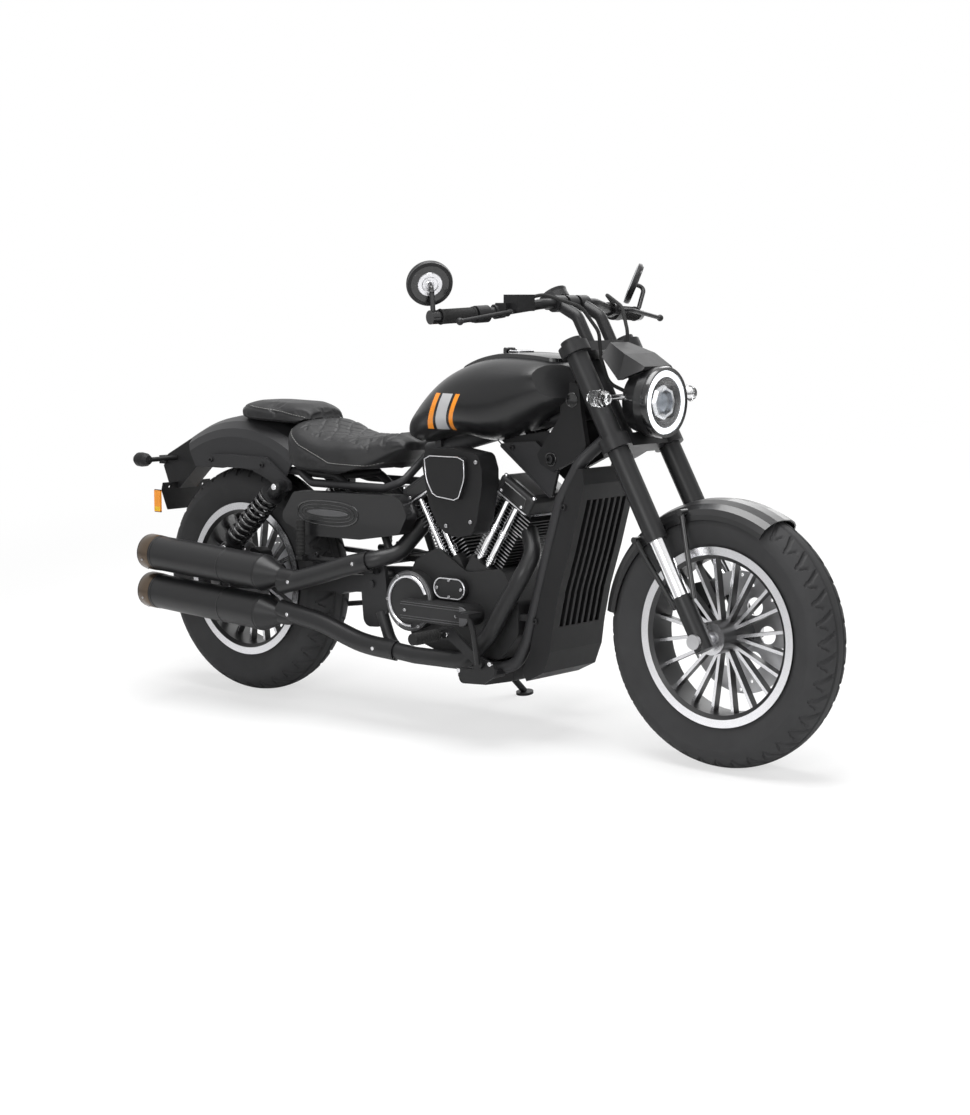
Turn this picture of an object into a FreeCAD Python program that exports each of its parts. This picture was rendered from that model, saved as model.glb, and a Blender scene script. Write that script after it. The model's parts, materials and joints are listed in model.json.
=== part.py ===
"""Cruiser motorcycle with a V-twin engine, standing on its side stand.

Modelled upright in millimetres: X forward, Y to the rider's left, Z up, zero on the ground
under the rear axle. The whole machine is then leaned over onto its side stand and moved so
that the middle of its footprint is the origin.
"""
import FreeCAD
import Part
import functools
import math
import os

V = FreeCAD.Vector
ALONG_X = V(1, 0, 0)
ALONG_Y = V(0, 1, 0)
ALONG_Z = V(0, 0, 1)
SIDES = (-1, 1)
FULL_TURN = 360.0

# Driving dimensions of the whole machine
WHEELBASE = 1613.0
RAKE_DEG = 29.5
LEAN_DEG = 8.0
STEM_OFFSET = 45.0
FRONT_TYRE_RADIUS = 320.0
FRONT_TYRE_WIDTH = 130.0
REAR_TYRE_RADIUS = 323.0
REAR_TYRE_WIDTH = 150.0
FORK_SPACING = 105.0

# Clearances
FIT = 0.05
GAP = 0.3
RUNNING_GAP = 6.0
OVERRUN = 5.0
SEAT_DEPTH = 1.0
CORNER_SHARE = 0.48
WAIST_SHARE = 0.6


# Shape helpers

def box(x_low, x_high, y_low, y_high, z_low, z_high):
    """A plain block between two corners."""
    return Part.makeBox(x_high - x_low, y_high - y_low, z_high - z_low, V(x_low, y_low, z_low))


def rod(start, end, radius):
    """A round bar from one point to another."""
    run = end - start
    return Part.makeCylinder(radius, run.Length, start, run)


def ring_between(start, end, outer, inner):
    """A tube from one point to another."""
    return rod(start, end, outer).cut(rod(start, end, inner))


def plate(outline, y_low, y_high):
    """A flat plate: an outline of (x, z) pairs, thick along Y."""
    corners = [V(x, y_low, z) for x, z in outline]
    return Part.Face(Part.makePolygon(corners + corners[:1])).extrude(V(0, y_high - y_low, 0))


def spread(x_low, x_high, z_low, z_high, shares):
    """Points given as shares of a rectangle, as real places."""
    return [(x_low + (x_high - x_low) * across, z_low + (z_high - z_low) * up)
            for across, up in shares]


def soft_outline(outline, radius):
    """A closed wire of (x, z) pairs at y = 0 with every corner rounded."""
    corners = [V(x, 0, z) for x, z in outline]
    edges = []
    ends = []
    for index, corner in enumerate(corners):
        back = corners[index - 1] - corner
        ahead = corners[(index + 1) % len(corners)] - corner
        half = back.getAngle(ahead) / 2
        setback = min(radius / math.tan(half), min(back.Length, ahead.Length) * CORNER_SHARE)
        size = setback * math.tan(half)
        back.normalize()
        ahead.normalize()
        middle = back + ahead
        middle.normalize()
        waist = corner + middle * (size / math.sin(half) - size)
        ends.append((corner + back * setback, waist, corner + ahead * setback))
    for index, (first, waist, last) in enumerate(ends):
        edges.append(Part.Arc(first, waist, last).toShape())
        edges.append(Part.LineSegment(last, ends[(index + 1) % len(ends)][0]).toShape())
    return Part.Wire(edges)


def soft_plate(outline, y_low, y_high, radius):
    """A plate whose outline has rounded corners."""
    face = Part.Face(soft_outline(outline, radius))
    face.translate(V(0, y_low, 0))
    return face.extrude(V(0, y_high - y_low, 0))


def bent_wire(points, bend):
    """Straight runs through the points, joined by tangent arcs."""
    edges = []
    start = points[0]
    for before, corner, after in zip(points, points[1:], points[2:]):
        back = before - corner
        ahead = after - corner
        half = back.getAngle(ahead) / 2
        setback = min(bend / math.tan(half), min(back.Length, ahead.Length) * CORNER_SHARE)
        size = setback * math.tan(half)
        back.normalize()
        ahead.normalize()
        middle = back + ahead
        middle.normalize()
        first = corner + back * setback
        last = corner + ahead * setback
        waist = corner + middle * (size / math.sin(half) - size)
        edges.append(Part.LineSegment(start, first).toShape())
        edges.append(Part.Arc(first, waist, last).toShape())
        start = last
    edges.append(Part.LineSegment(start, points[-1]).toShape())
    return Part.Wire(edges)


def pipe(points, radius, bend):
    """A round bar bent through the points."""
    path = bent_wire(points, bend)
    profile = Part.Wire(Part.makeCircle(radius, points[0], points[1] - points[0]))
    return path.makePipeShell([profile], True, False)


def turned(profile, centre, axis=ALONG_Y):
    """A solid of revolution about Y through the centre, from (radius, y) pairs."""
    corners = [V(radius, y, 0) for radius, y in profile]
    face = Part.Face(Part.makePolygon(corners + corners[:1]))
    solid = face.revolve(V(0, 0, 0), ALONG_Y, FULL_TURN)
    if axis == ALONG_X:
        solid.rotate(V(0, 0, 0), ALONG_Z, -FULL_TURN / 4)
    solid.translate(centre)
    return solid


def section(x, half_width, z_low, z_high, squareness, count=16):
    """A closed rounded section across the machine at one x."""
    points = []
    for step in range(count):
        angle = 2 * math.pi * step / count
        across = math.copysign(abs(math.cos(angle)) ** (2 / squareness), math.cos(angle))
        up = math.copysign(abs(math.sin(angle)) ** (2 / squareness), math.sin(angle))
        points.append(V(x, half_width * across, (z_low + z_high) / 2 + (z_high - z_low) / 2 * up))
    curve = Part.BSplineCurve()
    curve.interpolate(points, PeriodicFlag=True)
    return Part.Wire(curve.toShape())


def skin(sections):
    """A smooth solid through a row of closed sections."""
    return Part.makeLoft(sections, True, False)


def joined(shapes):
    """Several touching solids as one."""
    return shapes[0].multiFuse(shapes[1:]).removeSplitter()


def group(shapes):
    """Separate solids kept in one node."""
    return Part.makeCompound(shapes)


def mirrored(shape):
    """The same piece on the other side of the machine."""
    return shape.mirror(V(0, 0, 0), ALONG_Y)


def both_sides(shape):
    """A right-hand piece and its left-hand twin."""
    return group([shape, mirrored(shape)])


def moved(shape, where):
    """A copy of the shape shifted by a vector."""
    twin = shape.copy()
    twin.translate(where)
    return twin


def turned_about(shape, centre, axis, angle):
    """A copy of the shape turned about an axis."""
    twin = shape.copy()
    twin.rotate(centre, axis, angle)
    return twin


# Reference places that several pieces share

FRONT_AXLE = V(WHEELBASE, 0, FRONT_TYRE_RADIUS)
REAR_AXLE = V(0, 0, REAR_TYRE_RADIUS)
RAKE = math.radians(RAKE_DEG)
STEER_UP = V(-math.sin(RAKE), 0, math.cos(RAKE))
STEER_FORWARD = V(math.cos(RAKE), 0, math.sin(RAKE))


def on_fork(forward, left, up):
    """A point given along the raked fork: forward of the legs, to the left, up from the axle."""
    return FRONT_AXLE + STEER_FORWARD * forward + ALONG_Y * left + STEER_UP * up


def to_fork(shape):
    """A shape built upright at zero, set on the raked fork with its zero at the front axle."""
    twin = shape.copy()
    twin.rotate(V(0, 0, 0), ALONG_Y, -RAKE_DEG)
    twin.translate(FRONT_AXLE)
    return twin


# Wheels

FLANGE_RADIUS = 217.5
FLANGE_DEPTH = 12.5
FLANGE_WALL = 7.0
BARREL_WALL = 7.0
BARREL_DROP = 10.0
FRONT_RIM_HALF = 46.0
REAR_RIM_HALF = 57.0
SPOKE_PAIRS = 10
SPOKE_THICK = 8.0
SPOKE_DEPTH = 22.0
SPOKE_FORK_SHARE = 0.25
HUB_RADIUS = 40.0
AXLE_RADIUS = 10.0
BEAD_RISE = 3.0
SIDEWALL_SHARE = 0.5
FRONT_HUB_HALF = 66.0
REAR_HUB_HALF = 74.0
TYRE_STEPS = 8
TYRE_PANELS = 72


def tyre_crown(radius, width, rim_half):
    """The tyre's outside from bead to bead as (radius, y) points."""
    bead = rim_half - FLANGE_WALL - GAP
    shoulder = FLANGE_RADIUS + BEAD_RISE
    middle = FLANGE_RADIUS + (radius - FLANGE_RADIUS) * SIDEWALL_SHARE
    points = [(shoulder, -bead)]
    for step in range(TYRE_STEPS + 1):
        angle = math.pi * step / TYRE_STEPS
        points.append((middle + (radius - middle) * math.sin(angle), -width / 2 * math.cos(angle)))
    return points + [(shoulder, bead)]


def tyre(radius, width, rim_half, centre):
    """A plain tyre as a ring of flat panels, with beads between the rim's flanges."""
    seat = FLANGE_RADIUS - FLANGE_DEPTH + GAP
    outline = tyre_crown(radius, width, rim_half)
    outline += [(seat, outline[-1][1]), (seat, outline[0][1])]
    rings = []
    for panel in range(TYRE_PANELS):
        angle = math.radians(FULL_TURN * panel / TYRE_PANELS)
        rings.append([centre + V(reach * math.cos(angle), across, reach * math.sin(angle))
                      for reach, across in outline])
    faces = []
    for ring, following in zip(rings, rings[1:] + rings[:1]):
        for spot in range(len(outline)):
            corners = [ring[spot - 1], ring[spot], following[spot], following[spot - 1]]
            faces.append(Part.Face(Part.makePolygon(corners + corners[:1])))
    shell = Part.makeShell(faces)
    shell.sewShape()
    solid = Part.makeSolid(shell)
    if solid.Volume < 0:
        solid.reverse()
    return solid


def cast_wheel(rim_half, hub_half, centre):
    """A cast wheel: rim barrel, hub and thin spokes that fork in pairs."""
    seat = FLANGE_RADIUS - FLANGE_DEPTH
    inner = seat - BARREL_WALL
    well = inner - BARREL_DROP
    wall = rim_half - FLANGE_WALL
    barrel = turned([(FLANGE_RADIUS, -rim_half), (FLANGE_RADIUS, -wall), (seat, -wall), (seat, wall),
                     (FLANGE_RADIUS, wall), (FLANGE_RADIUS, rim_half), (inner, rim_half),
                     (well, wall), (well, -wall), (inner, -rim_half)], V(0, 0, 0))
    hub = rod(V(0, -hub_half, 0), V(0, hub_half, 0), HUB_RADIUS)
    pieces = [barrel, hub]
    pitch = 2 * math.pi / SPOKE_PAIRS
    for pair in range(SPOKE_PAIRS):
        for side in SIDES:
            root = pitch * pair
            tip = root + side * pitch * SPOKE_FORK_SHARE
            start = V(HUB_RADIUS * math.cos(root), 0, HUB_RADIUS * math.sin(root))
            start = start * (1 - SPOKE_FORK_SHARE)
            end = V((well + BARREL_WALL) * math.cos(tip), 0, (well + BARREL_WALL) * math.sin(tip))
            aside = (end - start).cross(ALONG_Y)
            aside.normalize()
            aside = aside * (SPOKE_THICK / 2)
            corners = [start - aside, start + aside, end + aside, end - aside]
            pieces.append(plate([(corner.x, corner.z) for corner in corners],
                                -SPOKE_DEPTH / 2, SPOKE_DEPTH / 2))
    wheel = joined(pieces)
    wheel = wheel.cut(rod(V(0, -hub_half - OVERRUN, 0), V(0, hub_half + OVERRUN, 0), AXLE_RADIUS + FIT))
    wheel.translate(centre)
    return wheel


DISC_RADIUS = 150.0
REAR_DISC_RADIUS = 120.0
DISC_BAND = 38.0
DISC_THICK = 5.0
DISC_WINDOWS = 6
DISC_WINDOW_RADIUS = 22.0
DISC_HOLES = 24
DISC_HOLE_RADIUS = 4.0


def brake_disc(radius, y_inner, side):
    """A drilled disc with a windowed carrier, against the hub's end."""
    start = V(0, y_inner, 0)
    end = V(0, y_inner + side * DISC_THICK, 0)
    disc = ring_between(start, end, radius, AXLE_RADIUS + RUNNING_GAP)
    outer = end + V(0, side * OVERRUN, 0)
    inner = start - V(0, side * OVERRUN, 0)
    window = (radius - DISC_BAND + HUB_RADIUS) / 2
    cuts = []
    for step in range(DISC_WINDOWS):
        angle = 2 * math.pi * step / DISC_WINDOWS
        place = V(window * math.cos(angle), 0, window * math.sin(angle))
        cuts.append(rod(inner + place, outer + place, min(DISC_WINDOW_RADIUS, (radius - DISC_BAND) / 4)))
    for step in range(DISC_HOLES):
        angle = 2 * math.pi * step / DISC_HOLES
        reach = radius - DISC_BAND * (1 + step % 2 * 2) / 4
        place = V(reach * math.cos(angle), 0, reach * math.sin(angle))
        cuts.append(rod(inner + place, outer + place, DISC_HOLE_RADIUS))
    return disc.cut(group(cuts))


SPROCKET_RADIUS = 92.0
SPROCKET_THICK = 7.0
SPROCKET_TEETH = 40
TOOTH_DEPTH = 7.0
CHAIN_LINE = 87.0


def rear_sprocket():
    """The toothed ring that the chain drives, on the left end of the hub."""
    outline = []
    for step in range(SPROCKET_TEETH * 2):
        angle = math.pi * step / SPROCKET_TEETH
        reach = SPROCKET_RADIUS - TOOTH_DEPTH * (step % 2)
        outline.append((reach * math.cos(angle), reach * math.sin(angle)))
    low = CHAIN_LINE - SPROCKET_THICK / 2
    wheel = plate(outline, low, low + SPROCKET_THICK)
    boss = rod(V(0, REAR_HUB_HALF, 0), V(0, low, 0), HUB_RADIUS)
    bore = rod(V(0, REAR_HUB_HALF - OVERRUN, 0), V(0, CHAIN_LINE + SPROCKET_THICK, 0),
               AXLE_RADIUS + RUNNING_GAP)
    return joined([wheel, boss]).cut(bore)


def wheels(parts):
    """Both wheels with tyres, discs and the driven sprocket."""
    parts["front_tyre"] = tyre(FRONT_TYRE_RADIUS, FRONT_TYRE_WIDTH, FRONT_RIM_HALF, FRONT_AXLE)
    parts["front_rim"] = cast_wheel(FRONT_RIM_HALF, FRONT_HUB_HALF, FRONT_AXLE)
    parts["front_disc"] = moved(brake_disc(DISC_RADIUS, FRONT_HUB_HALF, 1), FRONT_AXLE)
    parts["rear_tyre"] = tyre(REAR_TYRE_RADIUS, REAR_TYRE_WIDTH, REAR_RIM_HALF, REAR_AXLE)
    parts["rear_rim"] = cast_wheel(REAR_RIM_HALF, REAR_HUB_HALF, REAR_AXLE)
    rear = group([brake_disc(REAR_DISC_RADIUS, -REAR_HUB_HALF, -1), rear_sprocket()])
    parts["rear_disc_and_sprocket"] = moved(rear, REAR_AXLE)


# Fork and yokes, built along the fork with zero at the axle

LEG_RADIUS = 27.0
STANCHION_RADIUS = 20.5
LEG_LOW = 262.0
FOOT_HIGH = 114.0
FOOT_LOW = -26.0
FOOT_RADIUS = 24.0
LOWER_YOKE = 520.0
UPPER_YOKE = 776.0
YOKE_THICK = 34.0
UPPER_YOKE_THICK = 26.0
YOKE_WALL = 11.0
YOKE_REACH = LEG_RADIUS + YOKE_WALL
LEG_RISE = 13.0
LEG_HIGH = UPPER_YOKE + UPPER_YOKE_THICK / 2 + LEG_RISE
STEM_RADIUS = 14.0
HEAD_TUBE_RADIUS = 27.0
HEAD_TUBE_GAP = 4.0
SOCKET_DEPTH = 60.0
AXLE_END = 18.0
SPACER_WALL = 4.0


def fork_legs():
    """Black upper tubes and the feet that hold the axle, as four solids."""
    pieces = []
    for side in SIDES:
        base = V(0, side * FORK_SPACING, 0)
        tube = rod(base + ALONG_Z * LEG_LOW, base + ALONG_Z * LEG_HIGH, LEG_RADIUS)
        socket = rod(base + ALONG_Z * (LEG_LOW - OVERRUN), base + ALONG_Z * (LEG_LOW + SOCKET_DEPTH),
                     STANCHION_RADIUS + FIT)
        pieces.append(tube.cut(socket))
        foot = rod(base + ALONG_Z * FOOT_LOW, base + ALONG_Z * FOOT_HIGH, FOOT_RADIUS)
        hole = rod(base - ALONG_Y * LEG_RADIUS * 2, base + ALONG_Y * LEG_RADIUS * 2, AXLE_RADIUS + FIT)
        cup = rod(base + ALONG_Z * (FOOT_HIGH - SOCKET_DEPTH), base + ALONG_Z * (FOOT_HIGH + OVERRUN),
                  STANCHION_RADIUS + FIT)
        pieces.append(foot.cut(hole).cut(cup))
    return to_fork(group(pieces))


def stanchions():
    """The bright inner tubes between the feet and the upper tubes."""
    low = FOOT_HIGH - SOCKET_DEPTH + GAP
    high = LEG_LOW + SOCKET_DEPTH - GAP
    return to_fork(group([rod(V(0, side * FORK_SPACING, low), V(0, side * FORK_SPACING, high),
                              STANCHION_RADIUS) for side in SIDES]))


def yoke(height, thickness):
    """One clamp that joins the stem and both fork legs."""
    low = height - thickness / 2
    waist = YOKE_REACH * WAIST_SHARE
    pieces = [box(-waist, waist, -FORK_SPACING, FORK_SPACING, low, low + thickness),
              box(-STEM_OFFSET, 0, -YOKE_REACH, YOKE_REACH, low, low + thickness),
              rod(V(-STEM_OFFSET, 0, low), V(-STEM_OFFSET, 0, low + thickness), YOKE_REACH)]
    for side in SIDES:
        leg = V(0, side * FORK_SPACING, low)
        pieces.append(rod(leg, leg + ALONG_Z * thickness, YOKE_REACH))
    body = joined(pieces)
    for side in SIDES:
        body = body.cut(rod(V(0, side * FORK_SPACING, low - OVERRUN),
                            V(0, side * FORK_SPACING, low + thickness + OVERRUN), LEG_RADIUS + FIT))
    return body


def yokes():
    """Both clamps and the stem that turns in the head tube."""
    low = LOWER_YOKE - YOKE_THICK / 2
    high = UPPER_YOKE + UPPER_YOKE_THICK / 2
    stem = rod(V(-STEM_OFFSET, 0, low), V(-STEM_OFFSET, 0, high), STEM_RADIUS)
    return to_fork(joined([yoke(LOWER_YOKE, YOKE_THICK), yoke(UPPER_YOKE, UPPER_YOKE_THICK), stem]))


SWEEP_ROOM = 6.0
SWEEP_HALF_DEG = 125.0
SWEEP_LOW = 560.0
SWEEP_HIGH = 900.0


def steering_sweep():
    """The room that the upper yoke and the legs need as they turn about the stem."""
    reach = math.hypot(STEM_OFFSET, FORK_SPACING) + YOKE_REACH + SWEEP_ROOM
    foot = V(-STEM_OFFSET, 0, SWEEP_LOW)
    fan = Part.makeCylinder(reach, SWEEP_HIGH - SWEEP_LOW, foot, ALONG_Z, SWEEP_HALF_DEG * 2)
    fan.rotate(foot, ALONG_Z, -SWEEP_HALF_DEG)
    core = rod(foot, foot + ALONG_Z * (SWEEP_HIGH - SWEEP_LOW), YOKE_REACH + SWEEP_ROOM)
    return to_fork(fan.fuse(core))


def front_axle():
    """The through axle with its head and nut."""
    reach = FORK_SPACING + FOOT_RADIUS + GAP
    shaft = rod(V(0, -reach, 0), V(0, reach, 0), AXLE_RADIUS)
    heads = [rod(V(0, side * reach, 0), V(0, side * (reach + AXLE_END / 2), 0), AXLE_END)
             for side in SIDES]
    inner = FORK_SPACING - FOOT_RADIUS - GAP
    spacers = [ring_between(V(0, side * (FRONT_HUB_HALF + DISC_THICK + RUNNING_GAP / 2), 0),
                            V(0, side * inner, 0), AXLE_RADIUS + SPACER_WALL, AXLE_RADIUS - SEAT_DEPTH)
               for side in SIDES]
    return moved(joined([shaft] + heads + spacers), FRONT_AXLE)


CALIPER_LENGTH = 120.0
CALIPER_HEIGHT = 62.0
CALIPER_DEPTH = 44.0
CALIPER_SLOT = 11.0
CALIPER_ROUND = 12.0
CALIPER_SHARES = [(0, 0.15), (0.6, 0), (1, 0.2), (1, 0.8), (0.6, 1), (0, 0.85)]
FRONT_CALIPER_ANGLE = 152.0
REAR_CALIPER_ANGLE = 25.0
LUG_RADIUS = 13.0


def caliper(radius, y_disc, side, angle):
    """A caliper that straddles a disc at the angle given, seen from the right, about the axle."""
    middle = radius - CALIPER_HEIGHT / 4
    disc_middle = y_disc + side * DISC_THICK / 2
    outline = spread(middle - CALIPER_HEIGHT / 2, middle + CALIPER_HEIGHT / 2,
                     -CALIPER_LENGTH / 2, CALIPER_LENGTH / 2, CALIPER_SHARES)
    body = soft_plate(outline, disc_middle - CALIPER_DEPTH / 2, disc_middle + CALIPER_DEPTH / 2,
                      CALIPER_ROUND)
    slot = rod(V(0, disc_middle - CALIPER_SLOT / 2, 0), V(0, disc_middle + CALIPER_SLOT / 2, 0),
               radius + RUNNING_GAP)
    body = body.cut(slot)
    body.rotate(V(0, 0, 0), ALONG_Y, -angle)
    return body


def front_caliper():
    """The left front caliper, with its lugs reaching to the fork foot."""
    body = moved(caliper(DISC_RADIUS, FRONT_HUB_HALF, 1, FRONT_CALIPER_ANGLE), FRONT_AXLE)
    behind = math.radians(FRONT_CALIPER_ANGLE - RAKE_DEG) - math.pi / 2
    reach = DISC_RADIUS - CALIPER_HEIGHT / 4
    y = FORK_SPACING - FOOT_RADIUS + LUG_RADIUS / 2
    spot = on_fork(-reach * math.sin(behind), y, reach * math.cos(behind))
    lug = rod(spot, on_fork(0, y, reach * math.cos(behind)), LUG_RADIUS / 2)
    foot = rod(on_fork(0, FORK_SPACING, FOOT_LOW), on_fork(0, FORK_SPACING, LEG_LOW), FOOT_RADIUS + GAP)
    return joined([body, lug]).cut(foot)


def fork(parts):
    """Everything between the yokes and the front axle."""
    parts["fork_tubes"] = fork_legs()
    parts["fork_stanchions"] = stanchions()
    parts["fork_yokes"] = yokes()
    parts["front_axle"] = front_axle()


# Front fender and its stays

FENDER_GAP = 8.0
FENDER_WALL = 3.0
FENDER_HALF = 72.0
FENDER_SKIRT = 48.0
FENDER_CROWN = 36.0
FENDER_REAR_DEG = 173.0
FENDER_FRONT_DEG = 61.0
BAND_STEPS = 8
STAY_RADIUS = 6.5
STAY_BOSS_RADIUS = 8.0
STAY_FOOT_UP = 96.0
STAY_TOP_UP = 296.0
STAY_ROOT_Y = 60.0
STAY_FRONT_TOP = 80.0
STAY_REAR_TOP = -75.0


def arched(outer, inner, start_deg, end_deg, centre):
    """A band of (radius, y) points swept about an axle between two angles, front is zero."""
    corners = [V(radius, y, 0) for radius, y in outer + inner[::-1]]
    face = Part.Face(Part.makePolygon(corners + corners[:1]))
    face.rotate(V(0, 0, 0), ALONG_Y, -start_deg)
    band = face.revolve(V(0, 0, 0), ALONG_Y, start_deg - end_deg)
    band.translate(centre)
    return band


def fender_arch(radius, half, skirt, crown):
    """A fender's section as (radius, y) points: straight skirts and a rounded crown."""
    points = [(radius - skirt, -half)]
    for step in range(BAND_STEPS + 1):
        angle = math.pi * step / BAND_STEPS
        points.append((radius - crown + crown * math.sin(angle), -half * math.cos(angle)))
    return points + [(radius - skirt, half)]


def fender_shell(radius, half, skirt, crown, wall, start_deg, end_deg, centre):
    """A fender's skin of one wall thickness between two angles about its centre."""
    outer = fender_arch(radius, half, skirt, crown)
    inner = fender_arch(radius - wall, half - wall, skirt - wall, crown)
    return arched(outer, inner, start_deg, end_deg, centre)


def front_fender():
    """The front fender with the two stays that carry it on each fork foot."""
    shell = fender_shell(FRONT_TYRE_RADIUS + FENDER_GAP + FENDER_WALL, FENDER_HALF, FENDER_SKIRT,
                         FENDER_CROWN, FENDER_WALL, FENDER_REAR_DEG, FENDER_FRONT_DEG, FRONT_AXLE)
    pieces = [shell]
    for side in SIDES:
        for top in (STAY_FRONT_TOP, STAY_REAR_TOP):
            foot = on_fork(math.copysign(FOOT_RADIUS + STAY_RADIUS, top), side * FORK_SPACING, STAY_FOOT_UP)
            shoulder = on_fork(top, side * (FENDER_HALF + STAY_RADIUS + FENDER_WALL), STAY_TOP_UP)
            root = V(shoulder.x, side * STAY_ROOT_Y, shoulder.z)
            pieces.append(rod(foot, shoulder, STAY_RADIUS))
            pieces.append(rod(root, shoulder + ALONG_Y * side * STAY_BOSS_RADIUS, STAY_BOSS_RADIUS))
    return joined(pieces)


# Headlamp, its cowl and the front indicators

LAMP_X = 1430.0
LAMP_Z = 871.0
LAMP_RADIUS = 86.0
LAMP_LENGTH = 105.0
LAMP_RECESS = 30.0
LAMP_RIM = 8.0
LENS_THICK = 6.0
LENS_DOME = 8.0
LAMP_LUG_RADIUS = 12.0
LAMP_LUG_FORWARD = 12.0
LAMP_LUG_LENGTH = 48.0
LAMP_BACK_SHARES = [(0, 1), (0.5, 0.96), (0.85, 0.75), (1, 0.35)]


def headlamp_shell():
    """The bucket of the headlamp with its lug on the lower yoke."""
    back = [(LAMP_RADIUS * out, -LAMP_LENGTH * along) for out, along in LAMP_BACK_SHARES]
    bucket = turned(back + [(LAMP_RADIUS, 0), (LAMP_RADIUS - LAMP_RIM, 0),
                            (LAMP_RADIUS - LAMP_RIM, -LAMP_RECESS), (0, -LAMP_RECESS)],
                    V(LAMP_X, 0, LAMP_Z), ALONG_X)
    foot = on_fork(LAMP_LUG_FORWARD, 0, LOWER_YOKE + YOKE_THICK / 2)
    lug = rod(foot, foot + STEER_UP * LAMP_LUG_LENGTH, LAMP_LUG_RADIUS)
    return joined([bucket, lug]).cut(yokes())


def headlamp_lens():
    """The clear lens that closes the bucket."""
    edge = LAMP_RADIUS - LAMP_RIM - GAP
    return turned([(0, -LENS_THICK), (edge, -LENS_THICK), (edge, 0), (edge / 2, LENS_DOME), (0, LENS_DOME)],
                  V(LAMP_X, 0, LAMP_Z), ALONG_X)


COWL_FRONT_X = 1405.0
COWL_MIDDLE_X = 1350.0
COWL_REAR_X = 1286.0
COWL_TOP_Z = 1014.0
COWL_BROW_Z = 988.0
COWL_TIP_Z = 958.0
COWL_SIDE_Z = 925.0
COWL_HALF = 88.0
COWL_TOP_HALF = 62.0
COWL_REAR_HALF = 36.0
COWL_TIP_THICK = 8.0


def headlamp_cowl():
    """The faceted hood on top of the headlamp."""
    rows = [(COWL_FRONT_X, COWL_TOP_HALF, COWL_TOP_HALF - COWL_TIP_THICK,
             COWL_TIP_Z - COWL_TIP_THICK, COWL_TIP_Z),
            (COWL_MIDDLE_X, COWL_HALF, COWL_TOP_HALF, COWL_SIDE_Z, COWL_BROW_Z),
            (COWL_REAR_X, COWL_TOP_HALF + COWL_TIP_THICK, COWL_REAR_HALF,
             COWL_BROW_Z - COWL_TIP_THICK, COWL_TOP_Z)]
    wires = []
    for x, low_half, top_half, low, top in rows:
        wires.append(Part.makePolygon([V(x, -low_half, low), V(x, low_half, low), V(x, top_half, top),
                                       V(x, -top_half, top), V(x, -low_half, low)]))
    hood = Part.makeLoft(wires, True, True)
    lamp = rod(V(COWL_REAR_X - OVERRUN, 0, LAMP_Z), V(COWL_FRONT_X + OVERRUN, 0, LAMP_Z),
               LAMP_RADIUS + GAP)
    return hood.cut(lamp)


INDICATOR_RADIUS = 21.0
INDICATOR_LENGTH = 58.0
INDICATOR_SPREAD = 176.0
FRONT_INDICATOR_X = 1331.0
FRONT_INDICATOR_Z = 885.0
STALK_RADIUS = 7.0
INDICATOR_SHARES = [(0, 0), (0.6, 0.04), (0.9, 0.25), (1, 0.55), (0.96, 0.8), (0.7, 0.96), (0, 1)]


def indicator(x, y, z, nose):
    """A bullet-shaped indicator whose lens faces the given way along X."""
    profile = [(INDICATOR_RADIUS * out, INDICATOR_LENGTH * along * nose)
               for out, along in INDICATOR_SHARES]
    return turned(profile, V(x, y, z), ALONG_X)


def front_indicators():
    """Both front indicators on stalks from the headlamp's sides."""
    pieces = []
    for side in SIDES:
        bullet = indicator(FRONT_INDICATOR_X, side * INDICATOR_SPREAD, FRONT_INDICATOR_Z, 1)
        middle = FRONT_INDICATOR_X + INDICATOR_LENGTH / 2
        stalk = rod(V(middle, side * STALK_RADIUS, FRONT_INDICATOR_Z),
                    V(middle, side * INDICATOR_SPREAD, FRONT_INDICATOR_Z), STALK_RADIUS)
        unit = joined([bullet, stalk]).cut(headlamp_shell()).cut(headlamp_cowl())
        pieces.append(max(unit.Solids, key=lambda solid: solid.Volume))
    return group(pieces)


# Handlebar, grips, mirrors and hand controls

BAR_RADIUS = 12.7
BAR_BEND = 60.0
RISER_RADIUS = 15.0
RISER_SPREAD = 46.0
RISER_FORWARD = 6.0
RISER_KNEE_UP = 866.0
CLAMP_X = 1130.0
CLAMP_Z = 1107.0
CLAMP_RADIUS = 21.0
CLAMP_HALF = 18.0
BAR_WAIST_Y = 105.0
GRIP_IN_X = 1070.0
GRIP_IN_Y = 268.0
GRIP_IN_Z = 1083.0
BAR_END_X = 1041.0
BAR_END_Y = 396.0
BAR_END_Z = 1077.0
GRIP_WALL = 4.5
GRIP_START_SHARE = 0.18
GRIP_END_SHARE = 0.93


def bar_points(side):
    """The handlebar's points from the middle outwards on one side."""
    return [V(CLAMP_X, side * BAR_WAIST_Y, CLAMP_Z), V(GRIP_IN_X, side * GRIP_IN_Y, GRIP_IN_Z),
            V(BAR_END_X, side * BAR_END_Y, BAR_END_Z)]


def along_grip(side, share):
    """A point between the inner end of the grip run and the bar's end."""
    inner, end = bar_points(side)[1:]
    return inner + (end - inner) * share


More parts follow.
